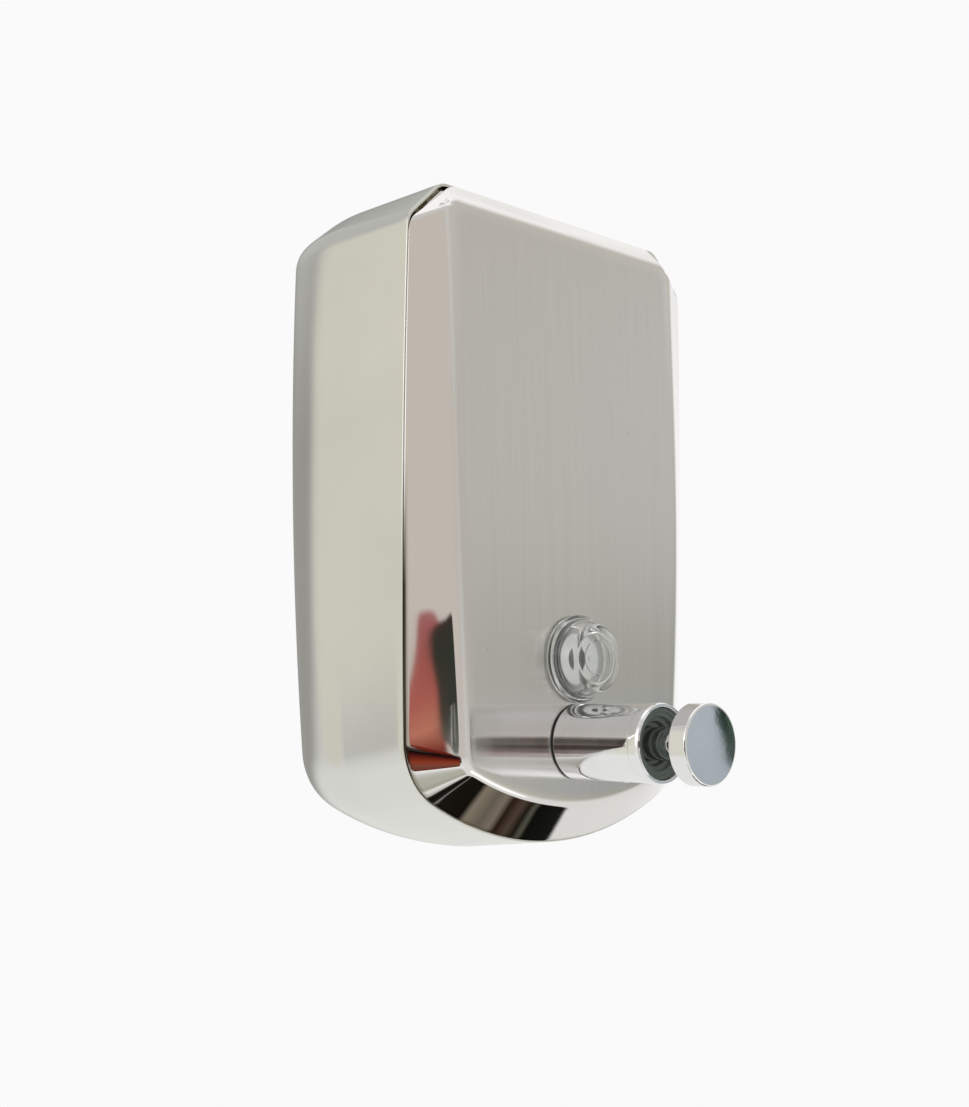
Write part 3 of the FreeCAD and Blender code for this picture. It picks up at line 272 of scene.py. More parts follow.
def facing_front(up, y=PANEL_Y, lean=0):
    """Give the place of a turned piece that stands out of the panel."""
    return Matrix.Translation((0, y, up)) @ Matrix.Rotation(math.radians(90 - lean), 4, "X")


# Objects


def add_object(name, data):
    """Put a mesh, a lamp or a camera in the scene."""
    item = bpy.data.objects.new(name, data)
    bpy.context.scene.collection.objects.link(item)
    return item


def show(name, mesh, nodes, slot, *looks):
    """Put a finished mesh in the scene in place of its nodes."""
    piece = add_object(name, mesh)
    for look in looks:
        mesh.materials.append(finish(look))
    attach(piece, BODY_OF[nodes[0]])
    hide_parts(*nodes)
    return piece


def baked(item):
    """Give an object's mesh with its modifiers, and take the object away."""
    graph = bpy.context.evaluated_depsgraph_get()
    mesh = bpy.data.meshes.new_from_object(item.evaluated_get(graph))
    bpy.data.objects.remove(item)
    return mesh


def cut(mesh, *tools):
    """Cut closed tool meshes out of a mesh."""
    target = add_object("work", mesh)
    helpers = [add_object("tool", tool) for tool in tools]
    for helper in helpers:
        modifier = target.modifiers.new("cut", "BOOLEAN")
        modifier.operation = "DIFFERENCE"
        modifier.solver = "EXACT"
        modifier.object = helper
    result = baked(target)
    for helper in helpers:
        bpy.data.objects.remove(helper)
    result.name = mesh.name + "_cut"
    result.set_sharp_from_angle(angle=SHARP)
    return result


# Node helpers


class Value:
    """An output that takes part in plain arithmetic."""

    def __init__(self, tree, socket):
        self.tree = tree
        self.socket = socket

    def maths(self, operation, *values, clamp=False):
        """Add one Math node."""
        settings = {"operation": operation, "use_clamp": clamp}
        return self.tree.value(0, "ShaderNodeMath", settings, dict(enumerate(values)))

    def __add__(self, other):
        return self.maths("ADD", self, other)

    def __sub__(self, other):
        return self.maths("SUBTRACT", self, other)

    def __rsub__(self, other):
        return self.maths("SUBTRACT", other, self)

    def __mul__(self, other):
        return self.maths("MULTIPLY", self, other)

    __radd__ = __add__
    __rmul__ = __mul__


class Nodes:
    """The nodes of a tree and the one way to add to them."""

    def __init__(self, tree):
        self.nodes = tree.nodes
        self.links = tree.links

    def give(self, socket, value):
        """Link or set one input."""
        if isinstance(value, Value):
            self.links.new(value.socket, socket)
        else:
            socket.default_value = value

    def add(self, kind, settings=None, values=None):
        """Add a node, set its settings, then link or set its inputs."""
        node = self.nodes.new(kind)
        for name, setting in (settings or {}).items():
            if name != "stops":
                setattr(node, name, setting)
                continue
            stops = node.color_ramp.elements
            while len(stops) < len(setting):
                stops.new(0.5)
            for stop, (spot, *colour) in zip(stops, setting):
                stop.position = spot
                stop.color = (*colour, 1)
        for name, value in (values or {}).items():
            self.give(node.inputs[name], value)
        return node

    def value(self, output, kind, settings=None, values=None):
        """Add a node and give one of its outputs."""
        return Value(self, self.add(kind, settings, values).outputs[output])


class Tree(Nodes):
    """The shader nodes of a world or a material."""

    def __init__(self, owner, coordinate):
        owner.use_nodes = True
        super().__init__(owner.node_tree)
        self.place = self.value(coordinate, "ShaderNodeTexCoord")

    def noise(self, scale, stretch=(1, 1, 1), detail=3, rough=0.55):
        """Give a noise from 0 to 1, finer by scale and drawn out by stretch."""
        spread = self.value(0, "ShaderNodeMapping", None, {"Vector": self.place, "Scale": stretch})
        values = {"Vector": spread, "Scale": scale, "Detail": detail, "Roughness": rough}
        return self.value("Fac", "ShaderNodeTexNoise", None, values)

    def specks(self, scale, size):
        """Give 1 in the middle of scattered specks and 0 between them."""
        values = {"Vector": self.place, "Scale": scale}
        return self.ramp(self.value("Distance", "ShaderNodeTexVoronoi", None, values), 0.01, size, 1, 0)

    def axis(self, name):
        """Give one coordinate of the place."""
        return self.value(name, "ShaderNodeSeparateXYZ", None, {"Vector": self.place})

    def ramp(self, value, low=0.3, high=0.7, start=0, end=1):
        """Stretch the part of a value between low and high over start to end."""
        values = {"Value": value, "From Min": low, "From Max": high, "To Min": start, "To Max": end}
        return self.value(0, "ShaderNodeMapRange", {"clamp": True}, values)

    def blend(self, factor, first, second):
        """Mix two colours, each of them a value or its red, green and blue."""
        ends = [colour if isinstance(colour, Value) else (*colour, 1) for colour in (first, second)]
        return self.value(2, "ShaderNodeMix", {"data_type": "RGBA"}, {0: factor, 6: ends[0], 7: ends[1]})

    def towards(self, way):
        """Give how far the place points along a direction, from -1 to 1."""
        values = {0: self.place, 1: Vector(way).normalized()}
        return self.value("Value", "ShaderNodeVectorMath", {"operation": "DOT_PRODUCT"}, values)

    def seen_by(self, *kinds):
        """Give 1 for the kinds of ray that see this directly."""
        path = self.add("ShaderNodeLightPath")
        seen = sum(Value(self, path.outputs[kind]) for kind in kinds)
        return seen.maths("MULTIPLY", seen, 1, clamp=True)

    def swap(self, factor, first, second, end):
        """Mix two shaders into the tree's output."""
        mix = self.add("ShaderNodeMixShader", None, {0: factor})
        self.links.new(first.outputs[0], mix.inputs[1])
        self.links.new(second.outputs[0], mix.inputs[2])
        self.links.new(mix.outputs[0], self.nodes[end].inputs[0])


class Finish(Tree):
    """A material and the nodes that make it."""

    def __init__(self, name):
        self.material = bpy.data.materials.new(name)
        super().__init__(self.material, "Object")
        self.shader = self.nodes["Principled BSDF"]

    def attribute(self, name):
        """Read a number kept on the mesh."""
        return self.value("Fac", "ShaderNodeAttribute", {"attribute_name": name})

    def done(self, colour, rough, height, depth, **more):
        """Set colour, roughness, a relief of a depth in metres and more; underscores are spaces."""
        relief = self.value(0, "ShaderNodeBump", None, {"Height": height, "Distance": depth})
        inputs = {"Base Color": colour, "Roughness": rough, "Normal": relief, **more}
        for name, value in inputs.items():
            self.give(self.shader.inputs[name.replace("_", " ")], value)
        return self.material


# Finishes


def shade(colour, factor):
    """Darken or lighten a colour."""
    return tuple(min(c * factor, 1) for c in colour)


def polished_shell():
    """Deep-drawn steel: bright, faintly wavy, with fine wiping marks and a few specks."""
    steel = bpy.context.scene.soap_steel.steel
    f = Finish("polished_shell")
    wipe = f.noise(6, (60, 60, 3), 5)
    dot = f.specks(55, 0.022)
    colour = f.blend(f.ramp(f.noise(22)), shade(steel, 0.96), shade(steel, 1.02))
    colour = f.blend(dot * 0.55, colour, (0.3, 0.27, 0.24))
    rough = 0.11 + f.ramp(wipe, 0.35, 0.75) * 0.03 + dot * 0.3
    wave = f.noise(14, (1, 1, 0.6), 1) + f.ramp(wipe, 0.3, 0.8) * 0.0012
    return f.done(colour, rough, wave, 0.0016, Metallic=1)


def brushed_panel():
    """Front sheet: brushed panel, mirror-bright bevels and painted shade, dull and dark, in the seam."""
    steel = bpy.context.scene.soap_steel.panel
    f = Finish("brushed_panel")
    bright, deep = f.attribute("bright"), f.attribute("deep")
    flat = 1 - bright
    grain = f.noise(1, (2400, 400, 14), 6, 0.6)
    broad = f.noise(1, (260, 60, 3), 4)
    cloud = f.noise(16, (1, 1, 0.5), 2)
    wipe = f.noise(5, (50, 50, 4), 4)
    streak = f.ramp(grain, 0.35, 0.65) * 0.6 + f.ramp(broad) * 0.4
    satin = f.blend(streak, shade(steel, 0.965), shade(steel, 1.03))
    colour = f.blend(bright, satin, shade(steel, 1.1))
    colour = f.blend(f.specks(48, 0.02) * flat * 0.5, colour, (0.34, 0.28, 0.24))
    # painted shade: where the deep mask says, the sheet in the seam goes dark brown to beige
    painted_seam_shade = f.blend(f.ramp(broad, 0.4, 0.6), (0.1, 0.08, 0.045), (0.3, 0.26, 0.19))
    satin_rough = 0.125 + f.ramp(grain) * 0.03 + f.ramp(broad) * 0.02
    top_fold = f.ramp(f.axis("Z"), 0.079, 0.0835)
    mirror_rough = 0.018 + f.ramp(wipe, 0.4, 0.8) * 0.014 + top_fold * 0.15
    height = grain * flat * 0.0015 + broad * flat * 0.003 + cloud * 0.5
    rough = satin_rough * flat + mirror_rough * bright
    return f.done(f.blend(deep, colour, painted_seam_shade), rough, height, 0.0006, Metallic=1, Anisotropic=1)


def pump_chrome():
    """Plated brass: deep shine with faint wiping marks."""
    chrome = bpy.context.scene.soap_pump.chrome
    f = Finish("pump_chrome")
    wipe = f.noise(30, (1, 6, 1), 5)
    cloud = f.noise(120)
    colour = f.blend(f.ramp(cloud), shade(chrome, 0.97), shade(chrome, 1.02))
    rough = 0.035 + f.ramp(wipe, 0.45, 0.8) * 0.05
    return f.done(colour, rough, wipe + cloud * 0.3, 2e-5, Metallic=1)


def satin_steel(name, colour, roughness, along=(1, 1, 1)):
    """Sheet and turned steel of the small pieces, with a fine grain."""
    f = Finish(name)
    grain = f.noise(900, along, 4)
    tone = f.blend(f.ramp(f.noise(35), 0.25, 0.75), shade(colour, 0.9), shade(colour, 1.05))
    tone = f.blend(f.ramp(grain, 0.3, 0.75) * 0.35, tone, shade(colour, 1.15))
    return f.done(tone, roughness + f.ramp(grain) * 0.1, grain, 3e-6, Metallic=1)


def moulded(name, colour, roughness):
    """Moulded plastic and rubber with a fine skin and slight colour drift."""
    f = Finish(name)
    grain, cloud = f.noise(2600), f.noise(60)
    tone = f.blend(f.ramp(cloud), shade(colour, 0.85), shade(colour, 1.15))
    return f.done(tone, roughness + f.ramp(grain) * 0.08, grain + cloud * 0.5, 3e-5)


def frosted_plastic():
    """Pale inner face of the sight glass, with the fine rings that turning leaves, an outer ring of painted
    shade that goes nearly black at the left, and a faint glow of painted light.
    """
    f = Finish("frosted_plastic")
    flat = f.value(0, "ShaderNodeVectorMath", {"operation": "MULTIPLY"}, {0: f.place, 1: (1, 0, 1)})
    centre = (0, 0, SIGHT_Z * MM)
    away = f.value("Value", "ShaderNodeVectorMath", {"operation": "DISTANCE"}, {0: flat, 1: centre})
    rings = away.maths("SINE", away * 7400)
    cloud = f.noise(90)
    tone = f.blend(f.ramp(cloud), (0.7, 0.7, 0.69), (0.8, 0.8, 0.79))
    tone = f.blend(f.ramp(rings, 0.2, 1) * 0.5, tone, (0.95, 0.95, 0.94))
    # painted shade: beyond about 8 mm from the axis the face turns grey, and nearly black towards the left
    left = f.ramp(f.axis("X"), -0.006, 0, 1, 0)
    rim = f.blend(left, (0.42, 0.42, 0.41), (0.012, 0.014, 0.014))
    tone = f.blend(f.ramp(away, 0.0076, 0.0082), tone, rim)
    # painted light: the face glows faintly, as if lit through the glass
    painted_glow = {"Emission_Color": tone, "Emission_Strength": 0.16}
    return f.done(tone, 0.34 + f.ramp(cloud) * 0.1, rings * 0.5 + cloud, 4e-5, **painted_glow)


def clear_plastic():
    """Clear acrylic of the sight glass, with faint moulding marks."""
    f = Finish("clear_acrylic")
    cloud = f.noise(160)
    tone = f.blend(f.ramp(cloud), (0.93, 0.95, 0.94), (0.98, 0.99, 0.98))
    rough = 0.012 + f.ramp(cloud, 0.4, 0.8) * 0.03
    return f.done(tone, rough, cloud, 4e-5, Transmission_Weight=0.95, IOR=1.49)


MAKERS = {
    "shell": (polished_shell,),
    "panel": (brushed_panel,),
    "chrome": (pump_chrome,),
    "plate": (satin_steel, "plate_steel", (0.62, 0.62, 0.61), 0.3, (0.02, 1, 1)),
    "turned": (satin_steel, "turned_steel", (0.7, 0.7, 0.7), 0.18),
    "lock": (satin_steel, "lock_chrome", (0.6, 0.6, 0.61), 0.13),
    "spring": (satin_steel, "spring_wire", (0.58, 0.58, 0.6), 0.22),
    "rubber": (moulded, "black_rubber", (0.02, 0.02, 0.021), 0.62),
    "dark": (moulded, "dark_plastic", (0.105, 0.13, 0.115), 0.2),
    "pale": (moulded, "pale_plastic", (0.72, 0.72, 0.69), 0.42),
    "clear": (clear_plastic,),
    "frosted": (frosted_plastic,),
}
MADE = {}


def finish(name):
    """Give a finish, made once."""
    if name not in MADE:
        maker, *details = MAKERS[name]
        MADE[name] = maker(*details)
    return MADE[name]


# Outlines of the tank, as the solids have them


def outline(line, inset, run, drop, soft):
    """Sample an outline of the tank as (x, z), from the middle of the bottom round the left."""
    half, side_radius, widest, low, bottom_radius, corner, high = line
    half, side_radius, bottom_radius = half - inset, side_radius - inset, bottom_radius - inset
    corner, low, high = max(corner - inset, 0.4), low + inset, high - inset
    run, drop = (size - inset * (2 - math.sqrt(2)) for size in (run, drop))
    side = Vector((side_radius - half, widest))
    base = Vector((0, low + bottom_radius))
    a, b = side_radius - corner, bottom_radius - corner
    gap = base - side
    along = (a * a - b * b + gap.length_squared) / (2 * gap.length)
    across = math.sqrt(a * a - along * along)
    unit = gap.normalized()
    choices = [side + unit * along + Vector((unit.y, -unit.x)) * across * k for k in (1, -1)]
    turn = min(choices, key=lambda spot: spot.y)
    side_end = turn + (turn - side).normalized() * corner
    base_end = turn + (turn - base).normalized() * corner

    def on_side(z):
        return Vector((side.x - math.sqrt(side_radius ** 2 - (z - side.y) ** 2), z))

    def curve(start, knee, end):
        return [bent(start, knee, end, k / 10) for k in range(11)]

    def straight(start, end, steps):
        return [start.lerp(end, k / steps) for k in range(1, steps)]

    side_top = on_side(high - drop)
    roof = Vector((side_top.x + run, high))
    reach = min(soft, (roof - side_top).length * 0.42)
    slope = (roof - side_top).normalized() * reach
    below, beside = on_side(side_top.y - reach), roof + Vector((reach, 0))
    left = arc(base, Vector((0, low)), base_end, 26)
    left += arc(turn, base_end, side_end, 18)[1:]
    left += [on_side(side_end.y + (below.y - side_end.y) * k / 44) for k in range(1, 44)]
    left += curve(below, side_top, side_top + slope)
    left += straight(side_top + slope, roof - slope, 8)
    left += curve(roof - slope, roof, beside)
    left += straight(beside, Vector((0, high)), 24)
    left.append(Vector((0, high)))
    return left + [Vector((-spot.x, spot.y)) for spot in reversed(left[1:-1])]


def at_depth(line, y):
    """Stand an outline at a depth."""
    return [Vector((spot.x, y, spot.y)) for spot in line]


def bow_y(z, inset=0):
    """Give the depth of the bowed panel at a height."""
    return PANEL_Y + inset + BOW_RADIUS - math.sqrt(BOW_RADIUS ** 2 - (z - PANEL_FOOT) ** 2)


class SOAP_OT_tank_shell(bpy.types.Operator):
    """Make the drawn shell with its soft corners, rolled mouth and filler opening."""

    bl_idname = "soap.tank_shell"
    bl_label = "Tank shell"

    def execute(self, context):
        settings = context.scene.soap_steel
        soft = settings.corner
        mouth = SEAM_Y + 0.35
        front = mouth + 0.3

        def wall(inset):
            seam = outline(SEAM, inset, *SHELL_CUT, soft * 0.6)
            rear = outline(REAR, inset, *REAR_CUT, soft)
            turn, tuck = settings.turn - inset, settings.tuck - inset
            bend = BACK_Y - inset - turn
            end = bend - 1
            rows = []
            for k in range(15):
                y = front + (end - front) * (k / 14)
                share = (y - mouth) / (end - mouth)
                rows.append(at_depth([a + (b - a) * share for a, b in zip(seam, rear)], y))
            for k in range(19):
                angle = math.pi / 2 * k / 18
                line = outline(REAR, inset + tuck * (1 - math.cos(angle)), *REAR_CUT, soft)
                rows.append(at_depth(line, bend + turn * math.sin(angle)))
            centre = Vector((0, BACK_Y - inset, (FLOOR_UP + TOP) / 2))
            rows.append([spot.lerp(centre, 0.03) for spot in rows[-1]])
            return rows

        outer, inner = wall(0), wall(SHEET)
        rolled = ((0.05, 0.18), (0.18, 0.28), (0.35, 0.3), (0.65, 0.3), (0.82, 0.28), (0.95, 0.18))
        rim = [
            [p.lerp(q, share) - Vector((0, out, 0)) for p, q in zip(inner[0], outer[0])]
            for share, out in rolled
        ]
        mesh = rings_mesh("shell_skin", inner[::-1] + rim + outer)
        ring = soften([(*corner, 3) for corner in oblong(32, SEAM_Y + 12.5, SEAM_Y + 38.5)])
        mesh = cut(mesh, prism("opening", ring, TOP - 6, TOP + 6))
        show("tank_shell_skin", mesh, ["rear_shell"], "shell_steel", "shell")
        return {"FINISHED"}


class SOAP_OT_front_cover(bpy.types.Operator):
    """Make the bevelled cover with soft folds and its two holes."""

    bl_idname = "soap.front_cover"
    bl_label = "Front cover"

    def execute(self, context):
        settings = context.scene.soap_steel
        fold, rim = settings.crease, settings.rim
        outer = self.folded(0, 0, fold)
        inner = self.folded(SHEET * math.sqrt(2), SHEET, max(fold - SHEET, 0.3))
        under = at_depth(outline(SEAM, rim, *COVER_CUT), SEAM_Y)
        onto = [a.lerp(b, min(rim / max((b - a).length, 0.1), 1)) for a, b in zip(outer[0], outer[1])]
        roll = [[bent(*spots, j / 6) for spots in zip(under, outer[0], onto)] for j in range(7)]
        lip = [
            at_depth(outline(SEAM, inset, *edge), SEAM_Y + back)
            for inset, edge, back in (
                (2.2, LIP_CUT, 0.7), (2.2, LIP_CUT, COVER_LIP), (1.2, LIP_CUT, COVER_LIP),
                (1.2, LIP_CUT, 2.7), (SHEET, COVER_CUT, 2.6),
            )
        ]
        mesh = rings_mesh("cover_skin", inner[:0:-1] + lip + roll + outer[1:], caps=False)
        mesh = cut(mesh, *(rod(r, -14, 14, facing_front(z)) for r, z in ((8.2, PUMP_Z), (8.7, SIGHT_Z))))
        self.mark(mesh, fold)
        show("front_cover_skin", mesh, ["front_cover"], "cover_steel", "panel")
        return {"FINISHED"}

    def folded(self, inset, depth, fold):
        """Give the rows of one side of the sheet, from the seam to the panel's middle."""
        lean = math.atan2(BOW_BACK, BOW_RISE)
        beyond = PANEL_Y - BOW_RISE ** 2 / (8 * BOW_RADIUS) * 1.2
        near, edge = at_depth(outline(SEAM, inset, *COVER_CUT), SEAM_Y), []
        for s, p in zip(outline(SEAM, inset, *PANEL_CUT), outline(PANEL, inset, *PANEL_CUT)):
            start = Vector((s.x, SEAM_Y, s.y))
            rise = p.y - PANEL_FOOT
            end = Vector((p.x, beyond + math.sin(lean) * rise, PANEL_FOOT + math.cos(lean) * rise))
            low, high = 0, 1.5
            for _ in range(30):
                t = (low + high) / 2
                spot = start.lerp(end, t)
                low, high = (t, high) if spot.y > bow_y(spot.z, depth) else (low, t)
            edge.append(start.lerp(end, low))
        spine = [Vector((0, 0, clamp(spot.z, FLOOR_UP + 52, TOP - 50))) for spot in edge]
        count = range(len(edge))
        reach = [max((spine[k] - edge[k]).length, 1) for k in count]

        def inside(k, t):
            spot = edge[k].lerp(spine[k], t)
            return Vector((spot.x, bow_y(spot.z, depth), spot.z))

        rows = []
        for j in range(8):
            shares = [j / 8 * (1 - fold / max((edge[k] - near[k]).length, fold * 1.3)) for k in count]
            rows.append([near[k].lerp(edge[k], shares[k]) for k in count])
        for j in range(9):
            row = []
            for k in count:
                back = near[k] - edge[k]
                out = edge[k] + back.normalized() * min(fold, back.length * 0.75)
                row.append(bent(out, edge[k], inside(k, fold / reach[k]), j / 8))
            rows.append(row)
        for t in (0.09, 0.14, 0.2, 0.28, 0.36, 0.44, 0.52, 0.6, 0.68, 0.76, 0.84, 0.92, 1):
            rows.append([inside(k, max(t, fold * 1.15 / reach[k])) for k in count])
        return rows

    def mark(self, mesh, fold):
        """Keep on each point how bright it is by the panel's edge, and how deep in the seam, which places the
        painted seam shade.
        """
        line = outline(PANEL, 0, *PANEL_CUT)
        sides = [(*a, *b) for a, b in zip(line, line[1:] + line[:1])]
        marks = {"bright": [], "deep": []}
        for vert in mesh.vertices:
            x, y, z = (c / MM for c in vert.co)
            behind, low = y - SEAM_Y, clamp(-z / 40)
            marks["bright"].append(clamp(outside(sides, x, z) / fold + 0.35))
            # painted seam shade: everything behind the seam, and lower down also the rolled edge just in
            # front of it
            marks["deep"].append(max(clamp((behind - 0.7) / 0.6), low * clamp((behind + 0.7) / 0.4)))
        for name, values in marks.items():
            mesh.attributes.new(name, "FLOAT", "POINT").data.foreach_set("value", values)


def outside(sides, x, z):
    """Give the signed distance of a point from the sides of an outline, positive outside."""
    best, inner = 1e9, False
    for ax, az, bx, bz in sides:
        dx, dz = bx - ax, bz - az
        length = dx * dx + dz * dz
        t = 0 if length < 1e-12 else clamp(((x - ax) * dx + (z - az) * dz) / length)
        best = min(best, (ax + dx * t - x) ** 2 + (az + dz * t - z) ** 2)
        if (az > z) != (bz > z) and x < dx * (z - az) / dz + ax:
            inner = not inner
    return -math.sqrt(best) if inner else math.sqrt(best)


# Turned pieces of the pump: name, node, slot, finish, sides and outline
TURNED = (
    ("end_ring", "barrel_ring", "bright_chrome", "chrome", 160, (
        (8.3, 30), (9.4, 30), (9.4, 31), (12.3, 31, 0.3), (12.3, 34.3, 0.35),
        (12, 35.2, 0.2), (11.1, 35.2, 0.2), (10.8, 33.2, 0.25), (8.3, 33.2, 0.3),
    )),
    ("barrel_gasket", "barrel_gasket", "black_rubber", "rubber", 128, (
        (8.2, 0), (11.6, 0, 0.15), (11.6, 0.6, 0.15), (8.2, 0.6),
    )),
    ("stem_guide", "stem_guide", "dark_plastic", "dark", 128, (
        (5.05, 26, 0.2), (9.4, 26, 0.2), (9.4, 30), (8.2, 30), (8.2, 33.25),
        (10.9, 33.25, 0.1), (10.9, 34.2, 0.25), (9.9, 34.2, 0.2), (9.7, 33.7, 0.15), (8.4, 33.7, 0.2),
        (8.1, 32.2, 0.2), (6.9, 32, 0.2), (6.5, 30.2, 0.2), (5.05, 29.8, 0.25), (5.05, 28.8),
        (6.55, 28.8), (6.55, 27.2), (5.05, 27.2),
    )),
    ("outlet_nozzle", "outlet_nozzle", "bright_chrome", "chrome", 64, (
        (1.6, 9.3), (2.8, 9.3, 0.15), (2.8, 12, 0.3), (1.6, 12, 0.3),
    )),
)


class SOAP_OT_pump_barrel(bpy.types.Operator):
    """Turn the chromed barrel, its end ring, gasket, guide and nozzle."""

    bl_idname = "soap.pump_barrel"
    bl_label = "Pump barrel"

    def execute(self, context):
        edge = context.scene.soap_pump.edge
        front = facing_front(PUMP_Z)
        down = Matrix.Translation((0, PANEL_Y - 22, PUMP_Z)) @ Matrix.Rotation(math.pi, 4, "X")
        barrel = turned_mesh("barrel_skin", [
            (6, -22), (7.4, -22), (7.7, -21.6), *thread(7.7, 8, -21.2, 20, (0.35, 0.55, 0.9)),
            (8, -0.6), (8, 0.6), (12, 0.6, edge), (12, 31, 0.12), (9.5, 31), (9.5, 3), (6, 3, 0.2),
        ], front, 160)
        barrel = cut(barrel, rod(2.9, 6, 16, down, 48))
        show("pump_barrel_skin", barrel, ["pump_barrel"], "bright_chrome", "chrome")
        for name, node, slot, look, sides, corners in TURNED:
            place = down if name == "outlet_nozzle" else front
            show(name + "_skin", turned_mesh(name, corners, place, sides), [node], slot, look)
        return {"FINISHED"}


class SOAP_OT_push_button(bpy.types.Operator):
    """Turn the button with its flared stem."""

    bl_idname = "soap.push_button"
    bl_label = "Push button"

    def execute(self, context):
        foot, stem, bore, flare = 25.9, 5, 3.05, 5.5
        rim, back, front = 12.3, 46.7, 53.2
        start, end = Vector((stem, back - flare)), Vector((stem + flare, back))
        mesh = turned_mesh("button_skin", [
            (bore, foot), (stem, foot, 0.3), (stem, 40),
            *arc(Vector((end.x, start.y)), start, end, 24), (stem + flare + 0.1, back),
            (rim, back, 0.6), (rim, front, 0.75), (0, front), (0, foot + 9), (bore, foot + 9),
        ], facing_front(PUMP_Z), 160)
        show("push_button_skin", mesh, ["push_button"], "bright_chrome", "chrome")
        return {"FINISHED"}


class SOAP_OT_sight_glass(bpy.types.Operator):
    """Turn the clear dome with its rim and hollow."""

    bl_idname = "soap.sight_glass"
    bl_label = "Sight glass"

    def execute(self, context):
        lean = math.degrees(math.asin((SIGHT_Z - PANEL_FOOT) / BOW_RADIUS))
        place = facing_front(SIGHT_Z, bow_y(SIGHT_Z), lean)
        crown, flat, ripple = 10.3, 6, 0.04
        path = soften([
            (4, -9.5), (8.5, -9.5, 0.3), (8.5, 0.05), (13.95, 0.05, 0.2), (13.95, 1.7, 0.4),
            (13, 2.25, 0.5), (10.8, 9, 1.8), (7, 10.05),
        ])[:-1]
        for k in range(25):
            r = flat * (1 - k / 24)
            path.append(Vector((r, crown - (r / 40) ** 2 * 5 - ripple * math.sin(r * 7) ** 2)))
        path += soften([
            (0, 7.6), (5.2, 7.6, 0.2), (5.6, 7.9, 0.2), (8, 7.7, 1), (9.8, 2, 0.6), (9.4, 1, 0.3),
            (4, 0.9, 0.3), (4, -9.5),
        ])[:-1]
        mesh = turned_mesh("sight_skin", path, place)
        back = place.inverted() @ Matrix.Scale(1 / MM, 4)
        for face in mesh.polygons:
            spot = back @ face.center
            if 0.7 < spot.z < 1.6 and 4.1 < spot.xy.length < 9.75:
                face.material_index = 1
        show("sight_glass_skin", mesh, ["sight_glass"], "clear_acrylic", "clear", "frosted")
        return {"FINISHED"}


class SOAP_OT_return_spring(bpy.types.Operator):
    """Wind the return spring of one wire."""

    bl_idname = "soap.return_spring"
    bl_label = "Return spring"

    def execute(self, context):
        settings = context.scene.soap_pump
        low, high = spans("return_spring")
        free = high.y - low.y
        inputs = {
            "Turns": settings.turns, "Length": (free - settings.wire) * MM,
            "Mean Radius": 6.8 * MM, "Wire Radius": settings.wire / 2 * MM,
        }
        tree = bpy.data.node_groups.new("wound_wire", "GeometryNodeTree")
        face = tree.interface
        face.new_socket("Geometry", in_out="INPUT", socket_type="NodeSocketGeometry")
        for name in inputs:
            face.new_socket(name, in_out="INPUT", socket_type="NodeSocketFloat")
        face.new_socket("Geometry", in_out="OUTPUT", socket_type="NodeSocketGeometry")
        g = Nodes(tree)
        given = g.add("NodeGroupInput")
        turns, length, radius, thick = (Value(g, given.outputs[name]) for name in inputs)
        helix = g.value(0, "GeometryNodeCurveSpiral", None, {
            "Resolution": 48, "Rotations": turns, "Height": length,
            "Start Radius": radius, "End Radius": radius,
        })
        round_wire = g.value(0, "GeometryNodeCurvePrimitiveCircle", None, {"Resolution": 14, "Radius": thick})
        shape = g.value(0, "GeometryNodeCurveToMesh", None, {
            "Curve": helix, "Profile Curve": round_wire, "Fill Caps": True,
        })
        shape = g.value(0, "GeometryNodeSetShadeSmooth", None, {0: shape})
        shape = g.value(0, "GeometryNodeRealizeInstances", None, {0: shape})
        coat = {"Geometry": shape, "Material": finish("spring")}
        g.add("NodeGroupOutput", None, {0: g.value(0, "GeometryNodeSetMaterial", None, coat)})
        holder = add_object("spring_work", bpy.data.meshes.new("spring_work"))
        modifier = holder.modifiers.new("wound", "NODES")
        modifier.node_group = tree
        for item in face.items_tree:
            if item.in_out == "INPUT" and item.name in inputs:
                modifier[item.identifier] = inputs[item.name]
        mesh = baked(holder)
        start = Matrix.Translation((0, (high.y - settings.wire / 2) * MM, PUMP_Z * MM))
        mesh.transform(start @ Matrix.Rotation(math.radians(90), 4, "X"))
        piece = show("return_spring_wire", mesh, ["return_spring"], "bright_steel")
        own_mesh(piece)
        return {"FINISHED"}


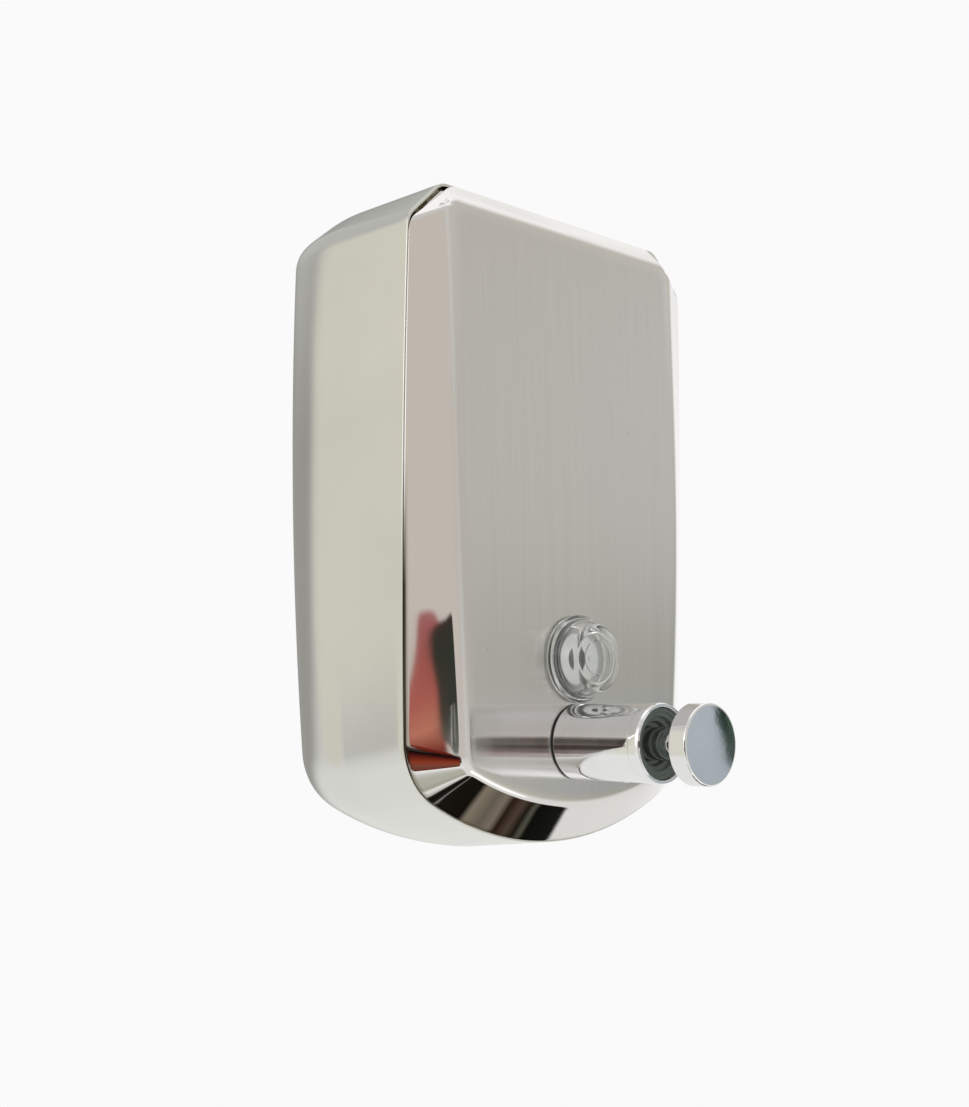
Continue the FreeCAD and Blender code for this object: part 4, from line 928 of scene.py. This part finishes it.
class SOAP_OT_softened_pieces(bpy.types.Operator):
    """Break the sharp edges of the sheet, nut and rubber pieces."""

    bl_idname = "soap.softened_pieces"
    bl_label = "Softened pieces"

    def execute(self, context):
        for slot, look, widths in (
            ("plate_steel", "plate", {
                "filler_lid": 0.35, "hinge_leaf": 0.2, "wall_plate": 0.35, "hanger_plate": 0.35,
                "lock_cam": 0.25,
            }),
            ("bright_steel", "turned", {"lock_nut": 0.4}),
            ("dark_plastic", "dark", {"pump_nut": 0.5}),
            ("white_plastic", "pale", {"sight_nut": 0.5, "inlet_elbow": 0.3}),
            ("black_rubber", "rubber", {"wall_bumpers": 0.9, "lid_gasket": 0.3}),
        ):
            for node, width in widths.items():
                show(node + "_skin", self.softened(node, width), [node], slot, look)
        return {"FINISHED"}

    def softened(self, node, width):
        """Copy a node's mesh, join its split faces and round its edges."""
        mesh = frame["nodes"][node].data.copy()
        mesh.materials.clear()
        for name in ("custom_normal", "sharp_edge", "sharp_face"):
            if name in mesh.attributes:
                mesh.attributes.remove(mesh.attributes[name])
        shape = bmesh.new()
        shape.from_mesh(mesh)
        bmesh.ops.remove_doubles(shape, verts=shape.verts, dist=2e-6)
        bmesh.ops.dissolve_limit(shape, angle_limit=math.radians(0.5), verts=shape.verts, edges=shape.edges)
        for face in shape.faces:
            face.smooth = True
        shape.to_mesh(mesh)
        shape.free()
        work = add_object(node + "_work", mesh)
        bevel = work.modifiers.new("edges", "BEVEL")
        bevel.width = width * MM
        bevel.segments = 3
        bevel.limit_method = "ANGLE"
        bevel.angle_limit = math.radians(50)
        bevel.use_clamp_overlap = True
        even = work.modifiers.new("normals", "WEIGHTED_NORMAL")
        even.weight = 100
        even.keep_sharp = False
        return baked(work)


class SOAP_OT_lock(bpy.types.Operator):
    """Turn the threaded lock barrel and the slotted screw of the cam."""

    bl_idname = "soap.lock"
    bl_label = "Lock"

    def execute(self, context):
        low, high = spans("lock_barrel")
        middle = (low.y + high.y) / 2
        axis = Matrix.Translation((0, middle, 0))
        seat, neck, bore = high.z - 1.4, 6, 4.1
        turns = int(seat - low.z - 1.2)
        mesh = turned_mesh("lock_barrel_skin", [
            (bore, low.z), (neck - 0.6, low.z),
            *thread(neck - 0.45, neck - 0.02, low.z + 0.5, turns, (0.4, 0.55, 0.95)),
            (neck - 0.02, seat), (8, seat, 0.2), (8, high.z, 1.1), (5, high.z, 0.2),
            (4.5, high.z - 0.4, 0.2), (bore, high.z - 0.4, 0.1),
        ], axis, 96)
        mesh.set_sharp_from_angle(angle=math.radians(30))
        show("lock_barrel_skin", mesh, ["lock_barrel"], "bright_chrome", "lock")
        low, high = spans("cam_screw")
        screw = turned_mesh("cam_screw_skin", [
            (0, low.z), (2.2, low.z, 0.8), (3.2, low.z + 0.7, 0.4), (3.2, low.z + 1.5, 0.1),
            (1.45, low.z + 1.5), (1.45, high.z, 0.2), (0, high.z),
        ], axis, 64)
        slots = [
            prism("slot", oblong(x, middle - y, middle + y), low.z - 1, low.z + 0.9)
            for x, y in ((1.9, 0.4), (0.4, 1.9))
        ]
        show("cam_screw_skin", cut(screw, *slots), ["cam_screw"], "bright_steel", "turned")
        return {"FINISHED"}


class SOAP_OT_small_pieces(bpy.types.Operator):
    """Give every other piece its finish."""

    bl_idname = "soap.small_pieces"
    bl_label = "Small pieces"

    def execute(self, context):
        looks = {
            "turned": ("hinge_pin", "plunger_rod", "spring_washer", "outlet_ball", "inlet_ball"),
            "lock": ("lock_plug",),
            "rubber": ("pump_gasket", "sight_gasket", "stem_seal", "piston_seal"),
            "pale": ("piston", "suction_tube"),
        }
        for look, nodes in looks.items():
            for node in nodes:
                for slot in frame["nodes"][node].material_slots:
                    slot.material = finish(look)
        return {"FINISHED"}


# The studio, in metres and degrees

PAPER = (0.956, 0.956, 0.956, 1)
CAMERA_TURN = (44.1536, 6.0936, 0.5975)  # heading, pitch and roll
CAMERA_TARGET = Vector((7.515, -27.085, -21.82)) * MM
CAMERA_AWAY = 0.54895

# Cards: name, place, size, turn, the axis their bands follow, raggedness and the bands as
# (spot, red, green, blue) in thousandths; some have a taper and a soft edge too
CARDS = (
    ("red_card", (-0.2985, -0.51, -0.102), (0.025, 0.16), (90, -15, -29.3), "Y", 0.15, (
        (0, 6, 4, 4), (60, 6, 4, 4), (100, 90, 8, 6), (270, 200, 25, 15), (420, 560, 210, 140),
        (580, 460, 130, 100), (800, 380, 100, 90), (1000, 400, 140, 140),
    ), 0.92),
    ("ember_card", (-0.289, -0.5155, -0.3), (0.1, 0.25), (90, 0, -29.3), "Y", 0.3, (
        (0, 160, 40, 25), (300, 220, 70, 50), (500, 300, 50, 20), (800, 100, 12, 8), (930, 6, 4, 4),
        (1000, 6, 4, 4),
    )),
    ("green_card", (-0.2782, -0.5156, -0.0855), (0.04, 0.118), (90, -25, -29.3), "Y", 0.12, (
        (0, 200, 210, 180), (200, 100, 110, 90), (350, 45, 50, 40), (800, 35, 40, 30), (1000, 50, 35, 30),
    )),
    ("glint_card", (-0.274, -0.514, -0.116), (0.008, 0.034), (90, -18, -29.3), "X", 1.6, (
        (0, 700, 710, 680), (400, 60, 60, 50), (700, 50, 50, 40), (1000, 620, 630, 600),
    )),
    ("dusk_card", (-0.577, -0.4765, -0.12), (0.44, 0.4), (90, 0, -55.5), "Y", 0.12, (
        (0, 50, 35, 28), (360, 30, 22, 18), (420, 140, 110, 85), (480, 60, 45, 35), (800, 35, 24, 18),
        (860, 260, 210, 160), (910, 130, 95, 65), (1000, 460, 410, 350),
    ), 0, 0.35),
    ("low_dusk_card", (-0.425, -0.64, -0.296), (0.36, 0.28), (90, 0, -37), "Y", 0.12, (
        (0, 60, 45, 35), (300, 30, 20, 15), (600, 70, 50, 40), (1000, 30, 20, 16),
    ), 0, 0.35),
    ("sky_card", (0.482, -0.503, -0.094), (0.085, 0.095), (90, 0, 37), "Y", 0.3, (
        (0, 400, 450, 480), (500, 440, 500, 530), (1000, 460, 500, 520),
    )),
    ("leaf_card", (0.4904, -0.4917, -0.086), (0.017, 0.05), (90, -14, 37), "X", 1.5, (
        (0, 20, 50, 30), (350, 4, 14, 8), (500, 100, 150, 110), (600, 4, 14, 8), (1000, 20, 35, 25),
    )),
    ("strip_card", (-0.31, -0.56, -0.455), (0.34, 0.03), (90, 0, -33), "Y", 0, (
        (0, 1150, 1150, 1120), (1000, 1150, 1150, 1120),
    )),
    ("glow_card", (0.22, -0.55, -0.47), (0.36, 0.3), (0, 0, 26), "Y", 0.1, (
        (0, 1350, 1350, 1320), (1000, 1350, 1350, 1320),
    )),
    ("brown_card", (0.14, -0.168, -0.45), (0.44, 0.24), (0, 0, 20), "X", 0.25, (
        (0, 550, 560, 490), (35, 500, 500, 450), (55, 20, 20, 16), (120, 6, 5, 4), (200, 20, 18, 15),
        (225, 300, 290, 270), (250, 12, 10, 8), (385, 8, 6, 4), (415, 250, 215, 165), (490, 150, 130, 95),
        (545, 220, 190, 145), (585, 22, 10, 6), (650, 85, 60, 45), (700, 12, 8, 5), (735, 100, 100, 75),
        (765, 6, 6, 5), (950, 10, 10, 8), (1000, 60, 60, 50),
    )),
    ("grey_card", (-0.187, -0.344, -0.452), (0.34, 0.24), (0, 0, 46), "X", 0.25, (
        (0, 700, 700, 670), (300, 530, 545, 460), (620, 500, 510, 440), (760, 420, 420, 360),
        (840, 950, 950, 900), (1000, 500, 500, 460),
    )),
)

# Broad tones of the room: heading and rise, where they start to fade and end, colour in thousandths
ROOM = (
    (0, 90, 12, 32, 1150, 1150, 1150),
    (85, 42, 20, 45, 1100, 1100, 1090),
    (70, 10, 20, 38, 980, 980, 980),
    (8, 15, 30, 44, 380, 375, 360),
    (-58, 3, 25, 35, 760, 745, 655),
    (-10, 43, 18, 36, 570, 570, 550),
    (128, 16, 26, 48, 620, 605, 550),
    (121, 1, 7, 17, 390, 405, 370),
    (125, 14, 4, 12, 655, 660, 635),
    (-160, 14, 18, 28, 655, 615, 560),
    (-95, 15, 14, 32, 1150, 1150, 1150),
    (-92, 16, 5, 13, 2200, 2200, 2150),
)


def pointing(heading, pitch):
    """Give the direction of a heading, from +Y towards +X, and a pitch, both in radians."""
    return Vector((math.sin(heading) * math.cos(pitch), math.cos(heading) * math.cos(pitch), math.sin(pitch)))


def flat_square(name, half, z=0):
    """Lay one square face in the scene."""
    mesh = bpy.data.meshes.new(name)
    mesh.from_pydata([(x, y, z) for x, y in oblong(half, -half, half)], [], [(0, 1, 2, 3)])
    return add_object(name, mesh)


class SOAP_OT_studio(bpy.types.Operator):
    """Set the pale floor, the soft light, the dark cards and the camera."""

    bl_idname = "soap.studio"
    bl_label = "Studio"

    def execute(self, context):
        scene = context.scene
        settings = scene.soap_studio
        scene.view_settings.view_transform = "Standard"
        self.surroundings(scene, settings.level)
        self.floor()
        if settings.cards:
            for spec in CARDS:
                self.card(*spec)
        self.lamps()
        self.camera(scene, settings.lens)
        return {"FINISHED"}

    def surroundings(self, scene, level):
        """Light the piece from a pale room, and show plain white behind it."""
        world = bpy.data.worlds.new("pale_room")
        scene.world = world
        t = Tree(world, "Generated")
        up = t.towards((0, 0, 1))
        colour = t.blend(t.ramp(up, -0.4, -0.05), (0.85, 0.855, 0.83), (0.7, 0.7, 0.68))
        for row in ROOM:
            heading, rise, inner, outer = (math.radians(a) for a in row[:4])
            near = t.ramp(t.towards(pointing(heading, rise)), math.cos(outer), math.cos(inner))
            colour = t.blend(near * near * (3 - 2 * near), colour, [c / 1000 for c in row[4:]])
        room = t.nodes["Background"]
        t.give(room.inputs["Color"], colour)
        t.give(room.inputs["Strength"], level)
        backdrop = t.add("ShaderNodeBackground", None, {"Color": PAPER})
        t.swap(t.seen_by("Is Camera Ray"), room, backdrop, "World Output")

    def floor(self):
        """Lay a plain pale floor well below the piece."""
        floor = flat_square("floor", 4, -0.75)
        f = Finish("pale_floor")
        cloud = f.noise(2, detail=2)
        f.give(f.shader.inputs["Base Color"], f.blend(cloud, (0.7, 0.7, 0.68), (0.74, 0.74, 0.72)))
        f.give(f.shader.inputs["Roughness"], 0.85)
        light = f.add("ShaderNodeEmission", None, {"Color": PAPER})
        f.swap(f.seen_by("Is Camera Ray", "Is Transmission Ray"), f.shader, light, "Material Output")
        floor.data.materials.append(f.material)
        floor.visible_glossy = False

    def card(self, name, place, size, turn, along, ragged, tones, taper=0, soft=0):
        """Stand a soft-edged card of coloured bands where only the polished steel sees it."""
        card = flat_square(name, 1)
        card.location = place
        card.scale = size[0] / 2, size[1] / 2, 1
        card.rotation_euler = [math.radians(a) for a in turn]
        f = Finish(name)
        x, y = f.axis("X"), f.axis("Y")
        waver = (f.noise(1.3) - 0.5) * ragged
        way = x if along == "X" else y
        stops = {"stops": [[part / 1000 for part in tone] for tone in tones]}
        colour = f.value("Color", "ShaderNodeValToRGB", stops, {"Fac": way * 0.5 + waver * 0.12 + 0.5})
        x = x * (1 + y * taper)
        off = x * x * x * x + y * y * y * y
        light = f.add("ShaderNodeEmission", None, {"Color": colour})
        clear = f.add("ShaderNodeBsdfTransparent")
        f.swap(f.ramp(off + waver, 0.72 - soft, 1), light, clear, "Material Output")
        card.data.materials.append(f.material)
        card.visible_camera = card.visible_diffuse = card.visible_shadow = card.visible_transmission = False

    def lamps(self):
        """Hang two large soft lamps that aim at the middle of the tank."""
        for name, place, size, power in (
            ("key_lamp", (0.68, -0.4, 0.95), 0.5, 4),
            ("fill_lamp", (-1.3, -1.1, 1.3), 1.2, 3),
        ):
            lamp = bpy.data.lights.new(name, "AREA")
            lamp.size = size
            lamp.energy = power
            item = add_object(name, lamp)
            item.location = place
            item.visible_glossy = False
            aim = Vector((0, -0.04, -0.02)) - Vector(place)
            item.rotation_euler = aim.to_track_quat("-Z", "Y").to_euler()

    def camera(self, scene, length):
        """Put the camera where the photograph was taken from."""
        heading, pitch, roll = (math.radians(a) for a in CAMERA_TURN)
        way = pointing(heading, pitch)
        right = Vector((math.cos(heading), -math.sin(heading), 0))
        up = right.cross(way)
        across = right * math.cos(roll) + up * math.sin(roll)
        above = up * math.cos(roll) - right * math.sin(roll)
        lens = bpy.data.cameras.new("camera")
        lens.lens = length
        lens.clip_start = 0.01
        scene.camera = add_object("camera", lens)
        turn = Matrix((across, above, -way)).transposed().to_4x4()
        scene.camera.matrix_world = Matrix.Translation(CAMERA_TARGET - way * CAMERA_AWAY) @ turn


class SOAP_PT_panel(bpy.types.Panel):
    """List the pieces of the dispenser."""

    bl_label = "Soap dispenser"
    bl_idname = "SOAP_PT_panel"
    bl_space_type = "VIEW_3D"
    bl_region_type = "UI"
    bl_category = "Soap"

    def draw(self, context):
        for name, group in SETTINGS.items():
            box = self.layout.box()
            for setting in group.__annotations__:
                box.prop(getattr(context.scene, name), setting)
        for step in STEPS:
            self.layout.operator(step.bl_idname)


SETTINGS = {"soap_steel": SteelSettings, "soap_pump": PumpSettings, "soap_studio": StudioSettings}
STEPS = (
    SOAP_OT_studio, SOAP_OT_tank_shell, SOAP_OT_front_cover, SOAP_OT_pump_barrel, SOAP_OT_push_button,
    SOAP_OT_sight_glass, SOAP_OT_return_spring, SOAP_OT_softened_pieces, SOAP_OT_lock, SOAP_OT_small_pieces,
)


def register():
    """Add the settings, the steps and the panel."""
    for name, group in SETTINGS.items():
        bpy.utils.register_class(group)
        setattr(bpy.types.Scene, name, PointerProperty(type=group))
    for step in STEPS + (SOAP_PT_panel,):
        bpy.utils.register_class(step)


def unregister():
    """Take them away again."""
    for step in (SOAP_PT_panel,) + STEPS[::-1]:
        bpy.utils.unregister_class(step)
    for name, group in SETTINGS.items():
        delattr(bpy.types.Scene, name)
        bpy.utils.unregister_class(group)


def main():
    """Register the steps and make the pieces in order."""
    register()
    for step in STEPS:
        group, name = step.bl_idname.split(".")
        getattr(getattr(bpy.ops, group), name)()


if __name__ == "__main__":
    main()
